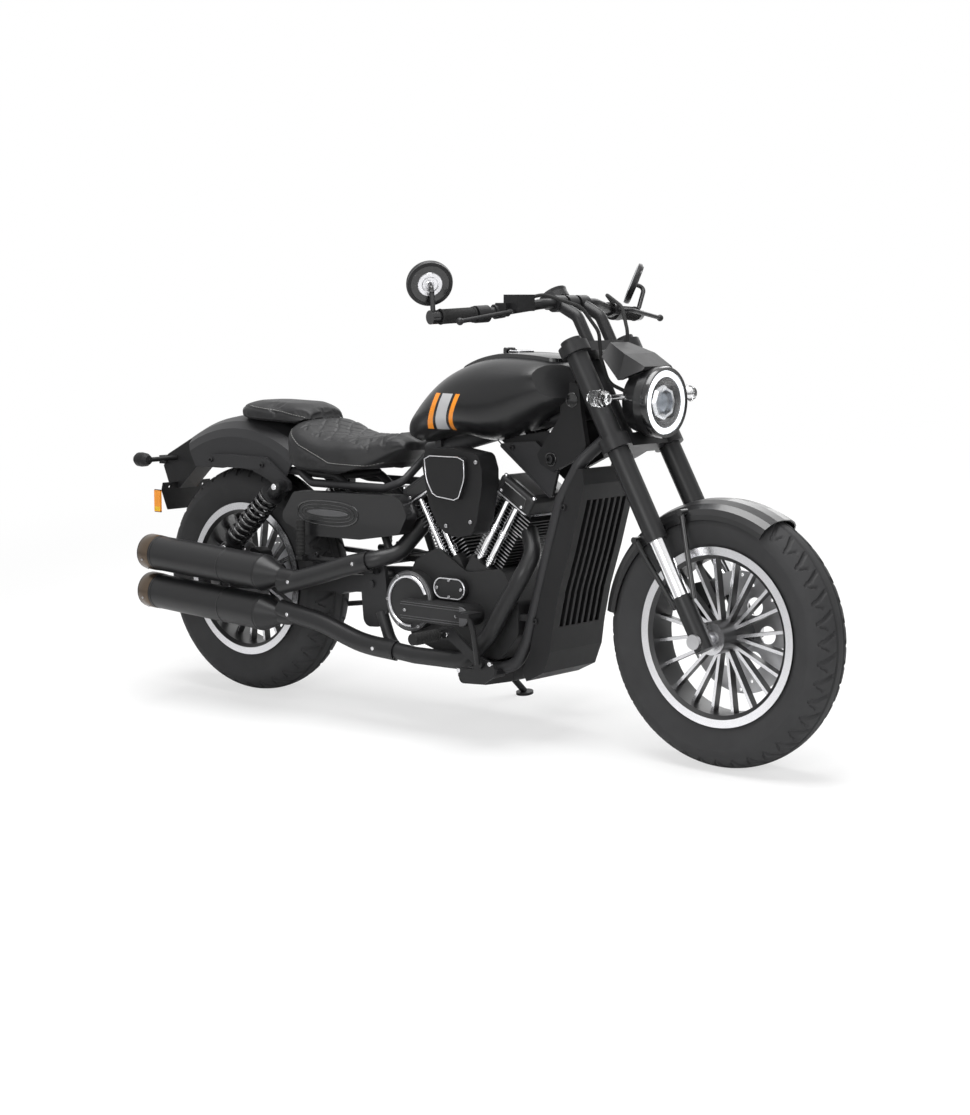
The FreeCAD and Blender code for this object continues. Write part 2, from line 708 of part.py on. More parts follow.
def handlebar():
    """The pulled-back bar with its two risers and clamps."""
    points = bar_points(-1)[::-1] + bar_points(1)
    pieces = [pipe(points, BAR_RADIUS, BAR_BEND)]
    for side in SIDES:
        foot = on_fork(RISER_FORWARD, side * RISER_SPREAD, UPPER_YOKE + UPPER_YOKE_THICK / 2)
        knee = on_fork(RISER_FORWARD, side * RISER_SPREAD, RISER_KNEE_UP)
        clamp = V(CLAMP_X, side * RISER_SPREAD, CLAMP_Z)
        pieces.append(pipe([foot, knee, clamp], RISER_RADIUS, RISER_RADIUS * 2))
        pieces.append(rod(clamp - ALONG_Y * CLAMP_HALF, clamp + ALONG_Y * CLAMP_HALF, CLAMP_RADIUS))
    return joined(pieces)


def grips():
    """Both rubber grips."""
    return group([ring_between(along_grip(side, GRIP_START_SHARE), along_grip(side, GRIP_END_SHARE),
                               BAR_RADIUS + GRIP_WALL, BAR_RADIUS + FIT) for side in SIDES])


MIRROR_RADIUS = 55.0
MIRROR_DEPTH = 14.0
MIRROR_RISE = 80.0
MIRROR_BACK = 12.0
MIRROR_NECK = 30.0
MIRROR_ARM_RADIUS = 6.0
MIRROR_ARM_BEND = 14.0
MIRROR_TURN_DEG = 38.0
MIRROR_TILT_DEG = 22.0
MIRROR_CLAMP_RADIUS = 17.0
MIRROR_CLAMP_LENGTH = 20.0


def mirrors():
    """Round mirrors on the bar's ends, each turned and tilted towards the rider."""
    pieces = []
    turn = math.radians(MIRROR_TURN_DEG)
    tilt = math.radians(MIRROR_TILT_DEG)
    for side in SIDES:
        inner, end = bar_points(side)[1:]
        outward = end - inner
        outward.normalize()
        clamp = rod(end, end + outward * MIRROR_CLAMP_LENGTH, MIRROR_CLAMP_RADIUS)
        root = end + outward * MIRROR_CLAMP_LENGTH / 2
        face = V(math.cos(turn) * math.cos(tilt), side * math.sin(turn) * math.cos(tilt), -math.sin(tilt))
        centre = root + V(-MIRROR_BACK, 0, MIRROR_RISE)
        arm = pipe([root, centre + face * MIRROR_NECK, centre], MIRROR_ARM_RADIUS, MIRROR_ARM_BEND)
        head = rod(centre - face * MIRROR_DEPTH / 2, centre + face * MIRROR_DEPTH / 2, MIRROR_RADIUS)
        pieces.append(joined([clamp, arm, head]))
    return group(pieces)


POD_LENGTH = 36.0
POD_RADIUS = 21.0
MASTER_LENGTH = 66.0
MASTER_WIDTH = 44.0
MASTER_HEIGHT = 40.0
MASTER_Y = 185.0
MASTER_FORWARD = 34.0
LEVER_RADIUS = 5.5
LEVER_BALL = 9.0
LEVER_FORWARD = 58.0
LEVER_ROOT_Y = 222.0
LEVER_TIP_Y = 400.0
LEVER_TIP_X = 1118.0
LEVER_TIP_Z = 1067.0
PERCH_RADIUS = 18.0
PERCH_HALF = 13.0
GAUGE_RADIUS = 36.0
GAUGE_DEPTH = 22.0
GAUGE_TILT_DEG = 35.0
GAUGE_RISE = 4.0
GAUGE_BACK = 40.0
GAUGE_NECK_RADIUS = 11.0


def on_bar(y):
    """The bar's centre at one distance from the middle, between the bend and the grip."""
    side = math.copysign(1, y)
    first, second = bar_points(side)[:2]
    share = (y - first.y) / (second.y - first.y)
    return first + (second - first) * share


def hand_controls():
    """Levers with perches, switch pods, the brake reservoir and the round gauge."""
    pieces = []
    for side in SIDES:
        centre = on_bar(side * LEVER_ROOT_Y)
        along = bar_points(side)[1] - bar_points(side)[0]
        along.normalize()
        perch = rod(centre - along * PERCH_HALF, centre + along * PERCH_HALF, PERCH_RADIUS)
        pivot = centre + ALONG_X * LEVER_FORWARD / 2
        nose = rod(centre, pivot, PERCH_HALF)
        tip = V(LEVER_TIP_X, side * LEVER_TIP_Y, LEVER_TIP_Z)
        knuckle = V(centre.x + LEVER_FORWARD, side * (LEVER_ROOT_Y + PERCH_HALF), centre.z)
        lever = pipe([centre + ALONG_X * BAR_RADIUS, knuckle, tip], LEVER_RADIUS, LEVER_BALL * 2)
        ball = Part.makeSphere(LEVER_BALL, tip)
        pod_at = along_grip(side, 0)
        pod_along = bar_points(side)[2] - bar_points(side)[1]
        pod_along.normalize()
        pod = rod(pod_at - pod_along * POD_LENGTH / 2, pod_at + pod_along * POD_LENGTH / 2, POD_RADIUS)
        unit = [perch, nose, lever, ball]
        if side < 0:
            front = V(centre.x + MASTER_FORWARD, -MASTER_Y, centre.z)
            unit.append(box(front.x - MASTER_WIDTH / 2, front.x + MASTER_WIDTH / 2,
                            front.y - MASTER_LENGTH / 2, front.y + MASTER_LENGTH / 2,
                            front.z, front.z + MASTER_HEIGHT))
            unit.append(box(centre.x, front.x, centre.y - PERCH_HALF, centre.y + PERCH_HALF,
                            centre.z, centre.z + MASTER_HEIGHT / 2))
        for solid in (joined(unit), pod):
            pieces.append(cut_by_bar(solid))
    eye = V(CLAMP_X - GAUGE_BACK, 0, CLAMP_Z + GAUGE_RISE)
    tilt = math.radians(GAUGE_TILT_DEG)
    up = V(-math.sin(tilt), 0, math.cos(tilt))
    dial = rod(eye, eye + up * GAUGE_DEPTH, GAUGE_RADIUS)
    foot = rod(V(CLAMP_X, -CLAMP_HALF, CLAMP_Z), V(CLAMP_X, CLAMP_HALF, CLAMP_Z), CLAMP_RADIUS)
    neck = rod(V(CLAMP_X, 0, CLAMP_Z), eye + up * GAUGE_DEPTH / 2, GAUGE_NECK_RADIUS)
    pieces.append(cut_by_bar(joined([dial, foot, neck])))
    return group(pieces)


CABLE_RADIUS = 4.5
CABLE_BEND = 45.0
CABLE_ROUTE = [(1121.0, 150.0, 1122.0), (1150.0, 124.0, 1130.0), (1232.0, 82.0, 1100.0),
               (1268.0, 58.0, 1040.0), (1271.0, 52.0, 975.0), (1290.0, 46.0, 915.0), (1345.0, 30.0, 890.0)]


def front_cables():
    """The brake hose and the clutch cable from the hand controls into the headlamp's back."""
    pieces = []
    held = [hand_controls(), handlebar(), headlamp_shell(), headlamp_cowl()]
    for side in SIDES:
        route = [side_point(place, side) for place in CABLE_ROUTE]
        if side > 0:
            route[0] = on_bar(LEVER_ROOT_Y) + V(PERCH_HALF, 0, PERCH_HALF)
        cable = pipe(route, CABLE_RADIUS, CABLE_BEND)
        for shape in held:
            cable = cable.cut(shape)
        pieces.append(max(cable.Solids, key=lambda solid: solid.Volume))
    return group(pieces)


def cut_by_bar(solid):
    """The solid with a hole where the handlebar runs through it."""
    points = bar_points(-1)[::-1] + bar_points(1)
    return solid.cut(pipe(points, BAR_RADIUS + FIT, BAR_BEND))


def front_end(parts):
    """Lamps, bar and controls that turn with the fork."""
    parts["front_fender"] = front_fender()
    parts["headlamp_shell"] = headlamp_shell()
    parts["headlamp_lens"] = headlamp_lens()
    parts["headlamp_cowl"] = headlamp_cowl()
    parts["front_indicators"] = front_indicators()
    parts["handlebar"] = handlebar()
    parts["grips"] = grips()
    parts["mirrors"] = mirrors()
    parts["hand_controls"] = hand_controls()
    parts["front_cables"] = front_cables()
    parts["front_caliper"] = front_caliper()


# Main frame

TUBE_RADIUS = 16.0
BACKBONE_RADIUS = 24.0
HEAD_LOW = LOWER_YOKE + YOKE_THICK / 2 + HEAD_TUBE_GAP
HEAD_HIGH = UPPER_YOKE - UPPER_YOKE_THICK / 2 - HEAD_TUBE_GAP
FRAME_BEND = 70.0
BACKBONE_UP = 640.0
BACKBONE_KNEE_X = 1000.0
BACKBONE_KNEE_Z = 806.0
BACKBONE_TAIL_X = 664.0
BACKBONE_TAIL_Z = 716.0
DOWNTUBE_UP = 575.0
DOWNTUBE_START_Y = 18.0
DOWNTUBE_NECK = (1232.0, 80.0, 722.0)
DOWNTUBE_SHOULDER = (1180.0, 92.0, 625.0)
DOWNTUBE_KNEE = (1076.0, 94.0, 262.0)
DOWNTUBE_CORNER = (1048.0, 100.0, 200.0)
CRADLE_FRONT = (1000.0, 118.0, 183.0)
CRADLE_REAR = (640.0, 122.0, 190.0)
CRADLE_END = (604.0, 130.0, 296.0)
PIVOT_X = 576.0
PIVOT_Z = 367.0
PIVOT_Y = 130.0
SEAT_RAIL_START = (600.0, 82.0, 428.0)
SEAT_RAIL_LOW = (560.0, 82.0, 520.0)
SEAT_RAIL_MID = (400.0, 80.0, 640.0)
SEAT_RAIL_END = (130.0, 80.0, 648.0)
SIDE_RAIL = [(652.0, 96.0, 640.0), (600.0, 110.0, 621.0), (330.0, 112.0, 620.0), (262.0, 84.0, 642.0)]
RAIL_RADIUS = 11.0
PIVOT_PLATE_THICK = 12.0
PIVOT_PLATE_SHARES = [(0.1, 0), (0.75, 0.02), (1, 0.3), (0.9, 0.8), (0.6, 1), (0.2, 0.95), (0, 0.5)]
PIVOT_PLATE_REAR = 535.0
PIVOT_PLATE_FRONT = 632.0
PIVOT_PLATE_LOW = 250.0
PIVOT_PLATE_HIGH = 448.0
PIVOT_PLATE_ROUND = 25.0
PIVOT_PIN_RADIUS = 10.0
TANK_MOUNT_X = 1080.0
TANK_MOUNT_Z = 821.0
TANK_MOUNT_RADIUS = 10.0
TANK_REST_X = 720.0
TANK_REST_LOW = 732.0
TANK_REST_HIGH = 785.0
TUNNEL_HALF = 34.0
TUNNEL_HIGH = 872.0
GUSSET_IN = 54.0
GUSSET_OUT = 64.0
GUSSET_REAR = 949.0
GUSSET_FRONT = 1150.0
GUSSET_LOW = 622.0
GUSSET_HIGH = 764.0
GUSSET_SHARES = [(0, 0.92), (0.62, 1), (1, 0.6), (0.88, 0)]
GUSSET_ROUND = 6.0
GUSSET_PIN_RADIUS = 9.0


def side_point(place, side):
    """A named (x, y, z) place on the right (-1) or left (1) side."""
    x, y, z = place
    return V(x, side * y, z)


def stem_bore():
    """The hole through the steering head for the stem."""
    head_low = on_fork(-STEM_OFFSET, 0, HEAD_LOW - OVERRUN * 2)
    return rod(head_low, on_fork(-STEM_OFFSET, 0, HEAD_HIGH + OVERRUN * 2), STEM_RADIUS + FIT)


def backbone():
    """Steering head, backbone, tank mounts and the triangular gussets on both sides."""
    head = rod(on_fork(-STEM_OFFSET, 0, HEAD_LOW), on_fork(-STEM_OFFSET, 0, HEAD_HIGH), HEAD_TUBE_RADIUS)
    pieces = [head, pipe([on_fork(-STEM_OFFSET, 0, BACKBONE_UP), V(BACKBONE_KNEE_X, 0, BACKBONE_KNEE_Z),
                          V(BACKBONE_TAIL_X, 0, BACKBONE_TAIL_Z)], BACKBONE_RADIUS, FRAME_BEND)]
    grip = TUNNEL_HALF - GAP
    pieces.append(rod(V(TANK_MOUNT_X, -grip, TANK_MOUNT_Z), V(TANK_MOUNT_X, grip, TANK_MOUNT_Z),
                      TANK_MOUNT_RADIUS))
    pieces.append(box(TANK_REST_X - TANK_MOUNT_RADIUS, TANK_REST_X + TANK_MOUNT_RADIUS, -grip, grip,
                      TANK_REST_LOW, TANK_REST_HIGH))
    gusset = soft_plate(spread(GUSSET_REAR, GUSSET_FRONT, GUSSET_LOW, GUSSET_HIGH, GUSSET_SHARES),
                        -GUSSET_OUT, -GUSSET_IN, GUSSET_ROUND)
    post = V((GUSSET_REAR + GUSSET_FRONT) / 2, 0, GUSSET_HIGH - GUSSET_PIN_RADIUS * 2)
    strut = V(BACKBONE_KNEE_X, 0, BACKBONE_KNEE_Z)
    for side in SIDES:
        pieces.append(gusset if side < 0 else mirrored(gusset))
        pieces.append(rod(strut, post + ALONG_Y * side * (GUSSET_IN + SEAT_DEPTH), GUSSET_PIN_RADIUS))
    return joined(pieces).cut(stem_bore())


def frame_cradle():
    """The twin downtubes that run into the cradle under the engine, with the stand's lug."""
    pieces = []
    for side in SIDES:
        tube = [on_fork(-STEM_OFFSET, side * DOWNTUBE_START_Y, DOWNTUBE_UP)]
        tube += [side_point(place, side) for place in (DOWNTUBE_NECK, DOWNTUBE_SHOULDER, DOWNTUBE_KNEE,
                                                       DOWNTUBE_CORNER, CRADLE_FRONT, CRADLE_REAR, CRADLE_END)]
        pieces.append(pipe(tube, TUBE_RADIUS, FRAME_BEND))
    return joined(pieces + [stand_lug()]).cut(backbone()).cut(stem_bore())


def frame_rails():
    """The pivot plates, the seat rails, the side rails and their cross tubes."""
    pieces = [rod(side_point(SEAT_RAIL_MID, -1), side_point(SEAT_RAIL_MID, 1), RAIL_RADIUS)]
    cross = side_point(SEAT_RAIL_START, 1)
    pieces.append(rod(V(cross.x, -PIVOT_Y, cross.z), V(cross.x, PIVOT_Y, cross.z), RAIL_RADIUS))
    for side in SIDES:
        rail = [side_point(place, side) for place in (SEAT_RAIL_START, SEAT_RAIL_LOW, SEAT_RAIL_MID,
                                                      SEAT_RAIL_END)]
        pieces.append(pipe(rail, RAIL_RADIUS, FRAME_BEND))
        outer = [V(BACKBONE_TAIL_X, 0, BACKBONE_TAIL_Z)] + [side_point(place, side) for place in SIDE_RAIL]
        pieces.append(pipe(outer, RAIL_RADIUS, FRAME_BEND / 2))
        web = soft_plate(spread(PIVOT_PLATE_REAR, PIVOT_PLATE_FRONT, PIVOT_PLATE_LOW, PIVOT_PLATE_HIGH,
                                PIVOT_PLATE_SHARES), -PIVOT_PLATE_THICK / 2, PIVOT_PLATE_THICK / 2,
                         PIVOT_PLATE_ROUND)
        pieces.append(moved(web, V(0, side * PIVOT_Y, 0)))
    pin = rod(V(PIVOT_X, -PIVOT_Y * 2, PIVOT_Z), V(PIVOT_X, PIVOT_Y * 2, PIVOT_Z), PIVOT_PIN_RADIUS + FIT)
    return joined(pieces).cut(pin).cut(backbone()).cut(frame_cradle())


@functools.lru_cache(maxsize=1)
def whole_frame():
    """The three frame pieces together, to cut other pieces with."""
    return group([backbone(), frame_cradle(), frame_rails()])


# Swingarm, rear axle and shock absorbers

ARM_Y = 110.0
ARM_WIDTH = 22.0
ARM_HEIGHT = 46.0
ARM_ROUND = 10.0
ARM_NOSE = 26.0
ARM_TAIL = 34.0
ARM_BRIDGE_X = 430.0
SHOCK_TOP_X = 226.0
SHOCK_TOP_Z = 605.0
SHOCK_LOW_X = 22.0
SHOCK_LOW_Z = 420.0
SHOCK_Y = 138.0
SHOCK_PIN_RADIUS = 8.0
SHOCK_EYE_RADIUS = 16.0
SHOCK_EYE_HALF = 12.0
SHOCK_BODY_RADIUS = 17.0
SHOCK_ROD_RADIUS = 7.0
SPRING_RADIUS = 27.0
SPRING_WIRE = 5.0
SPRING_TURNS = 9
SPRING_SEAT = 5.0
SPRING_LOW_SHARE = 0.14
SPRING_HIGH_SHARE = 0.86


def swingarm():
    """The rear fork that carries the wheel, with lugs for the shocks."""
    pieces = []
    for side in SIDES:
        outline = [(PIVOT_X + ARM_NOSE, PIVOT_Z - ARM_HEIGHT / 2), (PIVOT_X + ARM_NOSE, PIVOT_Z + ARM_HEIGHT / 2),
                   (-ARM_TAIL, REAR_TYRE_RADIUS + ARM_HEIGHT / 2), (-ARM_TAIL, REAR_TYRE_RADIUS - ARM_HEIGHT / 2)]
        arm = soft_plate(outline, -ARM_WIDTH / 2, ARM_WIDTH / 2, ARM_ROUND)
        lug = plate([(-ARM_TAIL, REAR_TYRE_RADIUS), (ARM_TAIL * 2, REAR_TYRE_RADIUS),
                     (SHOCK_LOW_X + SHOCK_EYE_RADIUS, SHOCK_LOW_Z + SHOCK_EYE_RADIUS),
                     (SHOCK_LOW_X - SHOCK_EYE_RADIUS, SHOCK_LOW_Z + SHOCK_EYE_RADIUS)],
                    -ARM_WIDTH / 4, ARM_WIDTH / 4)
        stud = rod(V(SHOCK_LOW_X, 0, SHOCK_LOW_Z),
                   V(SHOCK_LOW_X, side * (SHOCK_Y - ARM_Y + SHOCK_EYE_HALF), SHOCK_LOW_Z), SHOCK_PIN_RADIUS)
        pieces.append(moved(joined([arm, lug, stud]), V(0, side * ARM_Y, 0)))
    bridge = rod(V(ARM_BRIDGE_X, -ARM_Y, (PIVOT_Z + REAR_TYRE_RADIUS) / 2),
                 V(ARM_BRIDGE_X, ARM_Y, (PIVOT_Z + REAR_TYRE_RADIUS) / 2), ARM_HEIGHT / 2 - SEAT_DEPTH)
    body = joined(pieces + [bridge])
    reach = ARM_Y + ARM_WIDTH
    pivot = rod(V(PIVOT_X, -PIVOT_Y - PIVOT_PLATE_THICK, PIVOT_Z),
                V(PIVOT_X, PIVOT_Y + PIVOT_PLATE_THICK, PIVOT_Z), PIVOT_PIN_RADIUS)
    axle = rod(V(0, -reach, REAR_TYRE_RADIUS), V(0, reach, REAR_TYRE_RADIUS), AXLE_RADIUS + FIT)
    return joined([body.cut(axle), pivot])


def rear_axle():
    """The rear axle with its nuts and the spacers beside the hub."""
    reach = ARM_Y + ARM_WIDTH / 2 + GAP
    shaft = rod(V(0, -reach, 0), V(0, reach, 0), AXLE_RADIUS)
    nuts = [rod(V(0, side * reach, 0), V(0, side * (reach + AXLE_END / 2), 0), AXLE_END) for side in SIDES]
    inner = ARM_Y - ARM_WIDTH / 2 - GAP
    right = ring_between(V(0, -REAR_HUB_HALF - DISC_THICK - RUNNING_GAP / 2, 0), V(0, -inner, 0),
                         AXLE_RADIUS + SPACER_WALL, AXLE_RADIUS - SEAT_DEPTH)
    left = ring_between(V(0, CHAIN_LINE + SPROCKET_THICK / 2 + RUNNING_GAP / 4, 0), V(0, inner, 0),
                        AXLE_RADIUS + SPACER_WALL, AXLE_RADIUS - SEAT_DEPTH)
    return moved(joined([shaft, right, left] + nuts), REAR_AXLE)


def shock_frame(side):
    """The lower and upper eye of one shock and the direction between them."""
    low = V(SHOCK_LOW_X, side * SHOCK_Y, SHOCK_LOW_Z)
    high = V(SHOCK_TOP_X, side * SHOCK_Y, SHOCK_TOP_Z)
    return low, high, high - low


def rear_shocks():
    """Both shock bodies with their eyes and spring seats."""
    pieces = []
    for side in SIDES:
        low, high, run = shock_frame(side)
        seat = V(run)
        seat.normalize()
        unit = [rod(low, low + run / 2, SHOCK_BODY_RADIUS), rod(low + run / 2, high, SHOCK_ROD_RADIUS)]
        for share, way in ((SPRING_LOW_SHARE, -1), (SPRING_HIGH_SHARE, 1)):
            unit.append(rod(low + run * share, low + run * share + seat * (way * SPRING_SEAT),
                            SPRING_RADIUS + SPRING_WIRE))
        unit.append(rod(low + run * SPRING_HIGH_SHARE, high, SHOCK_BODY_RADIUS))
        for eye in (low, high):
            unit.append(rod(eye - ALONG_Y * SHOCK_EYE_HALF, eye + ALONG_Y * SHOCK_EYE_HALF, SHOCK_EYE_RADIUS))
        body = joined(unit)
        for eye in (low, high):
            body = body.cut(rod(eye - ALONG_Y * SHOCK_EYE_HALF * 2, eye + ALONG_Y * SHOCK_EYE_HALF * 2,
                                SHOCK_PIN_RADIUS + FIT))
        pieces.append(body)
    return group(pieces)


def coil(height):
    """A coil spring along Z, made of half turns that run into each other."""
    rise = height / SPRING_TURNS / 2
    side_reach = math.hypot(SPRING_RADIUS, rise / 2)
    edges = []
    for step in range(SPRING_TURNS * 2):
        way = (-1) ** step
        low = rise * step
        edges.append(Part.Arc(V(SPRING_RADIUS * way, 0, low), V(0, side_reach * way, low + rise / 2),
                              V(-SPRING_RADIUS * way, 0, low + rise)).toShape())
    wire = Part.Wire(Part.makeCircle(SPRING_WIRE, V(SPRING_RADIUS, 0, 0), ALONG_Y))
    return Part.Wire(edges).makePipeShell([wire], True, False)


def shock_springs():
    """The coil springs around both shocks."""
    pieces = []
    for side in SIDES:
        low, high, run = shock_frame(side)
        height = run.Length * (SPRING_HIGH_SHARE - SPRING_LOW_SHARE) - SPRING_WIRE * 2 - GAP * 2
        spring = coil(height)
        spring.Placement = FreeCAD.Placement(V(0, 0, 0), FreeCAD.Rotation(ALONG_Z, run))
        along = V(run)
        along.normalize()
        pieces.append(moved(spring, low + run * SPRING_LOW_SHARE + along * (SPRING_WIRE + GAP)))
    return group(pieces)


def rear_caliper():
    """The rear caliper on the right arm."""
    return moved(caliper(REAR_DISC_RADIUS, -REAR_HUB_HALF, -1, REAR_CALIPER_ANGLE), REAR_AXLE)


CHAIN_WIDTH = 13.0
CHAIN_CLEARANCE = 0.8
CHAIN_HALF_HEIGHT = 7.5
FRONT_SPROCKET_RADIUS = 36.0
FRONT_SPROCKET_X = 668.0
FRONT_SPROCKET_Z = 362.0


def drive_chain():
    """The chain as one loop around both sprockets."""
    far = V(FRONT_SPROCKET_X, 0, FRONT_SPROCKET_Z) - REAR_AXLE
    slope = math.atan2(far.z, far.x)
    spread_angle = math.acos((SPROCKET_RADIUS - FRONT_SPROCKET_RADIUS) / far.Length)
    loops = []
    for out in (CHAIN_HALF_HEIGHT, CHAIN_CLEARANCE - CHAIN_HALF_HEIGHT):
        big = SPROCKET_RADIUS + CHAIN_HALF_HEIGHT + out
        small = FRONT_SPROCKET_RADIUS + CHAIN_HALF_HEIGHT + out
        spots = []
        for centre, radius, angle in ((REAR_AXLE, big, slope + spread_angle), (REAR_AXLE, big, slope + math.pi),
                                      (REAR_AXLE, big, slope - spread_angle),
                                      (REAR_AXLE + far, small, slope - spread_angle),
                                      (REAR_AXLE + far, small, slope),
                                      (REAR_AXLE + far, small, slope + spread_angle)):
            spots.append(centre + V(math.cos(angle), 0, math.sin(angle)) * radius)
        edges = [Part.Arc(spots[0], spots[1], spots[2]).toShape(),
                 Part.LineSegment(spots[2], spots[3]).toShape(),
                 Part.Arc(spots[3], spots[4], spots[5]).toShape(),
                 Part.LineSegment(spots[5], spots[0]).toShape()]
        loops.append(Part.Face(Part.Wire(edges)))
    band = loops[0].cut(loops[1])
    low = CHAIN_LINE - CHAIN_WIDTH / 2
    return moved(band, V(0, low, 0)).extrude(V(0, CHAIN_WIDTH, 0))


# Engine

CRANK_X = 873.0
CRANK_Z = 360.0
ENGINE_HALF = 108.0
ENGINE_REAR = 668.0
ENGINE_FRONT = 1056.0
ENGINE_LOW = 205.0
ENGINE_HIGH = 478.0
ENGINE_ROUND = 24.0
ENGINE_SHARES = [(0.06, 0.1), (0.3, 0), (0.85, 0), (1, 0.25), (1, 0.55), (0.86, 0.86), (0.6, 0.8), (0.55, 0.8),
                 (0.3, 1), (0.1, 0.86), (0, 0.6)]
CYLINDER_LEAN_DEG = 31.0
BARREL_LOW = 88.0
BARREL_HIGH = 214.0
BARREL_RADIUS = 46.0
BARREL_FIN_X = 50.0
BARREL_FIN_Y = 74.0
HEAD_FIN_X = 66.0
HEAD_FIN_Y = 78.0
HEAD_HIGH_END = 286.0
HEAD_CORE = 12.0
FIN_PITCH = 9.6
FIN_THICK = 3.4
COVER_HALF_X = 62.0
COVER_RIGHT = 100.0
COVER_LEFT = 76.0
COVER_HIGH = 338.0
COVER_ROUND = 10.0
PUSHROD_RADIUS = 9.0
PUSHROD_Y = 90.0
PUSHROD_SPREAD = 17.0
PUSHROD_LOW = 104.0
PUSHROD_CUP = 13.0
LIFTER_HALF = 34.0
INTAKE_UP = 224.0
INTAKE_REACH = 104.0
INTAKE_RADIUS = 19.0
ENGINE_LUG_DEPTH = 58.0
ENGINE_LUG_HALF = 8.0
ENGINE_LUG_Z = 320.0


def crankcase():
    """The closed crankcase and gearbox, with the lifter blocks of both cylinders."""
    body = soft_plate(spread(ENGINE_REAR, ENGINE_FRONT, ENGINE_LOW, ENGINE_HIGH, ENGINE_SHARES),
                      -ENGINE_HALF, ENGINE_HALF, ENGINE_ROUND)
    crank = V(CRANK_X, 0, CRANK_Z)
    pieces = [body]
    for lean in (-CYLINDER_LEAN_DEG, CYLINDER_LEAN_DEG):
        neck = box(-BARREL_FIN_X, BARREL_FIN_X, -BARREL_FIN_Y, BARREL_FIN_Y, 0, BARREL_LOW)
        lifter = box(-LIFTER_HALF, LIFTER_HALF, -PUSHROD_Y - PUSHROD_CUP, 0, 0, PUSHROD_LOW)
        block = turned_about(joined([neck, lifter]), V(0, 0, 0), ALONG_Y, lean)
        pieces.append(moved(block, crank))
    body = joined(pieces)
    for lean in (-CYLINDER_LEAN_DEG, CYLINDER_LEAN_DEG):
        bore = box(-BARREL_FIN_X - GAP, BARREL_FIN_X + GAP, -BARREL_FIN_Y - GAP, BARREL_FIN_Y + GAP,
                   BARREL_LOW, COVER_HIGH)
        rods = box(-LIFTER_HALF, LIFTER_HALF, -COVER_RIGHT, 0, PUSHROD_LOW, COVER_HIGH)
        for room in (bore, rods):
            body = body.cut(moved(turned_about(room, V(0, 0, 0), ALONG_Y, lean), crank))
    reach = FRONT_SPROCKET_RADIUS + CHAIN_HALF_HEIGHT * 2 + RUNNING_GAP
    pocket = box(ENGINE_REAR - OVERRUN, FRONT_SPROCKET_X + reach, CHAIN_LINE - CHAIN_WIDTH / 2 - RUNNING_GAP,
                 CHAIN_LINE + CHAIN_WIDTH / 2 + RUNNING_GAP, FRONT_SPROCKET_Z - reach, FRONT_SPROCKET_Z + reach)
    cross_x, _, cross_z = SEAT_RAIL_START
    lugs = [box(cross_x, ENGINE_REAR + ENGINE_LUG_DEPTH, -ENGINE_LUG_DEPTH / 2, ENGINE_LUG_DEPTH / 2,
                cross_z - ENGINE_LUG_HALF, cross_z + ENGINE_LUG_HALF)]
    for side in SIDES:
        knee = side_point(DOWNTUBE_KNEE, side)
        lugs.append(box(ENGINE_FRONT - ENGINE_LUG_DEPTH / 2, ENGINE_FRONT + ENGINE_LUG_DEPTH / 2,
                        knee.y - ENGINE_LUG_HALF, knee.y + ENGINE_LUG_HALF,
                        ENGINE_LUG_Z - ENGINE_LUG_HALF, ENGINE_LUG_Z + ENGINE_LUG_HALF))
    return joined([body.cut(pocket)] + lugs).cut(whole_frame())


def cylinder(inward):
    """One finned barrel, head and rocker cover, upright with zero at the crank, intake inward."""
    pieces = [rod(V(0, 0, BARREL_LOW), V(0, 0, BARREL_HIGH), BARREL_RADIUS),
              rod(V(0, 0, INTAKE_UP), V(INTAKE_REACH * inward, 0, INTAKE_UP), INTAKE_RADIUS),
              box(-HEAD_FIN_X + HEAD_CORE, HEAD_FIN_X - HEAD_CORE, -HEAD_FIN_Y + HEAD_CORE,
                  HEAD_FIN_Y - HEAD_CORE, BARREL_HIGH, HEAD_HIGH_END)]
    count = int((HEAD_HIGH_END - BARREL_LOW) / FIN_PITCH)
    for step in range(count):
        low = BARREL_LOW + FIN_PITCH * step
        wide_x, wide_y = (BARREL_FIN_X, BARREL_FIN_Y) if low < BARREL_HIGH else (HEAD_FIN_X, HEAD_FIN_Y)
        notch = PUSHROD_Y - PUSHROD_RADIUS - GAP * 2
        pieces.append(box(-wide_x, wide_x, -min(wide_y, notch), wide_y, low, low + FIN_THICK))
    cover = box(-COVER_HALF_X, COVER_HALF_X, -COVER_RIGHT, COVER_LEFT, HEAD_HIGH_END, COVER_HIGH)
    pieces.append(cover.makeFillet(COVER_ROUND, cover.Edges))
    return joined(pieces)


def cylinders():
    """Front and rear cylinder in their V."""
    crank = V(CRANK_X, 0, CRANK_Z)
    return group([moved(turned_about(cylinder(-way), V(0, 0, 0), ALONG_Y, CYLINDER_LEAN_DEG * way), crank)
                  for way in SIDES])


def pushrod_tubes():
    """Two bright tubes beside each barrel."""
    crank = V(CRANK_X, 0, CRANK_Z)
    pieces = []
    for lean in (-CYLINDER_LEAN_DEG, CYLINDER_LEAN_DEG):
        for side in SIDES:
            low = V(side * PUSHROD_SPREAD, -PUSHROD_Y, PUSHROD_LOW + GAP)
            high = V(side * PUSHROD_SPREAD, -PUSHROD_Y, HEAD_HIGH_END - GAP)
            tube = rod(low, high, PUSHROD_RADIUS)
            pieces.append(moved(turned_about(tube, V(0, 0, 0), ALONG_Y, lean), crank))
    return group(pieces)


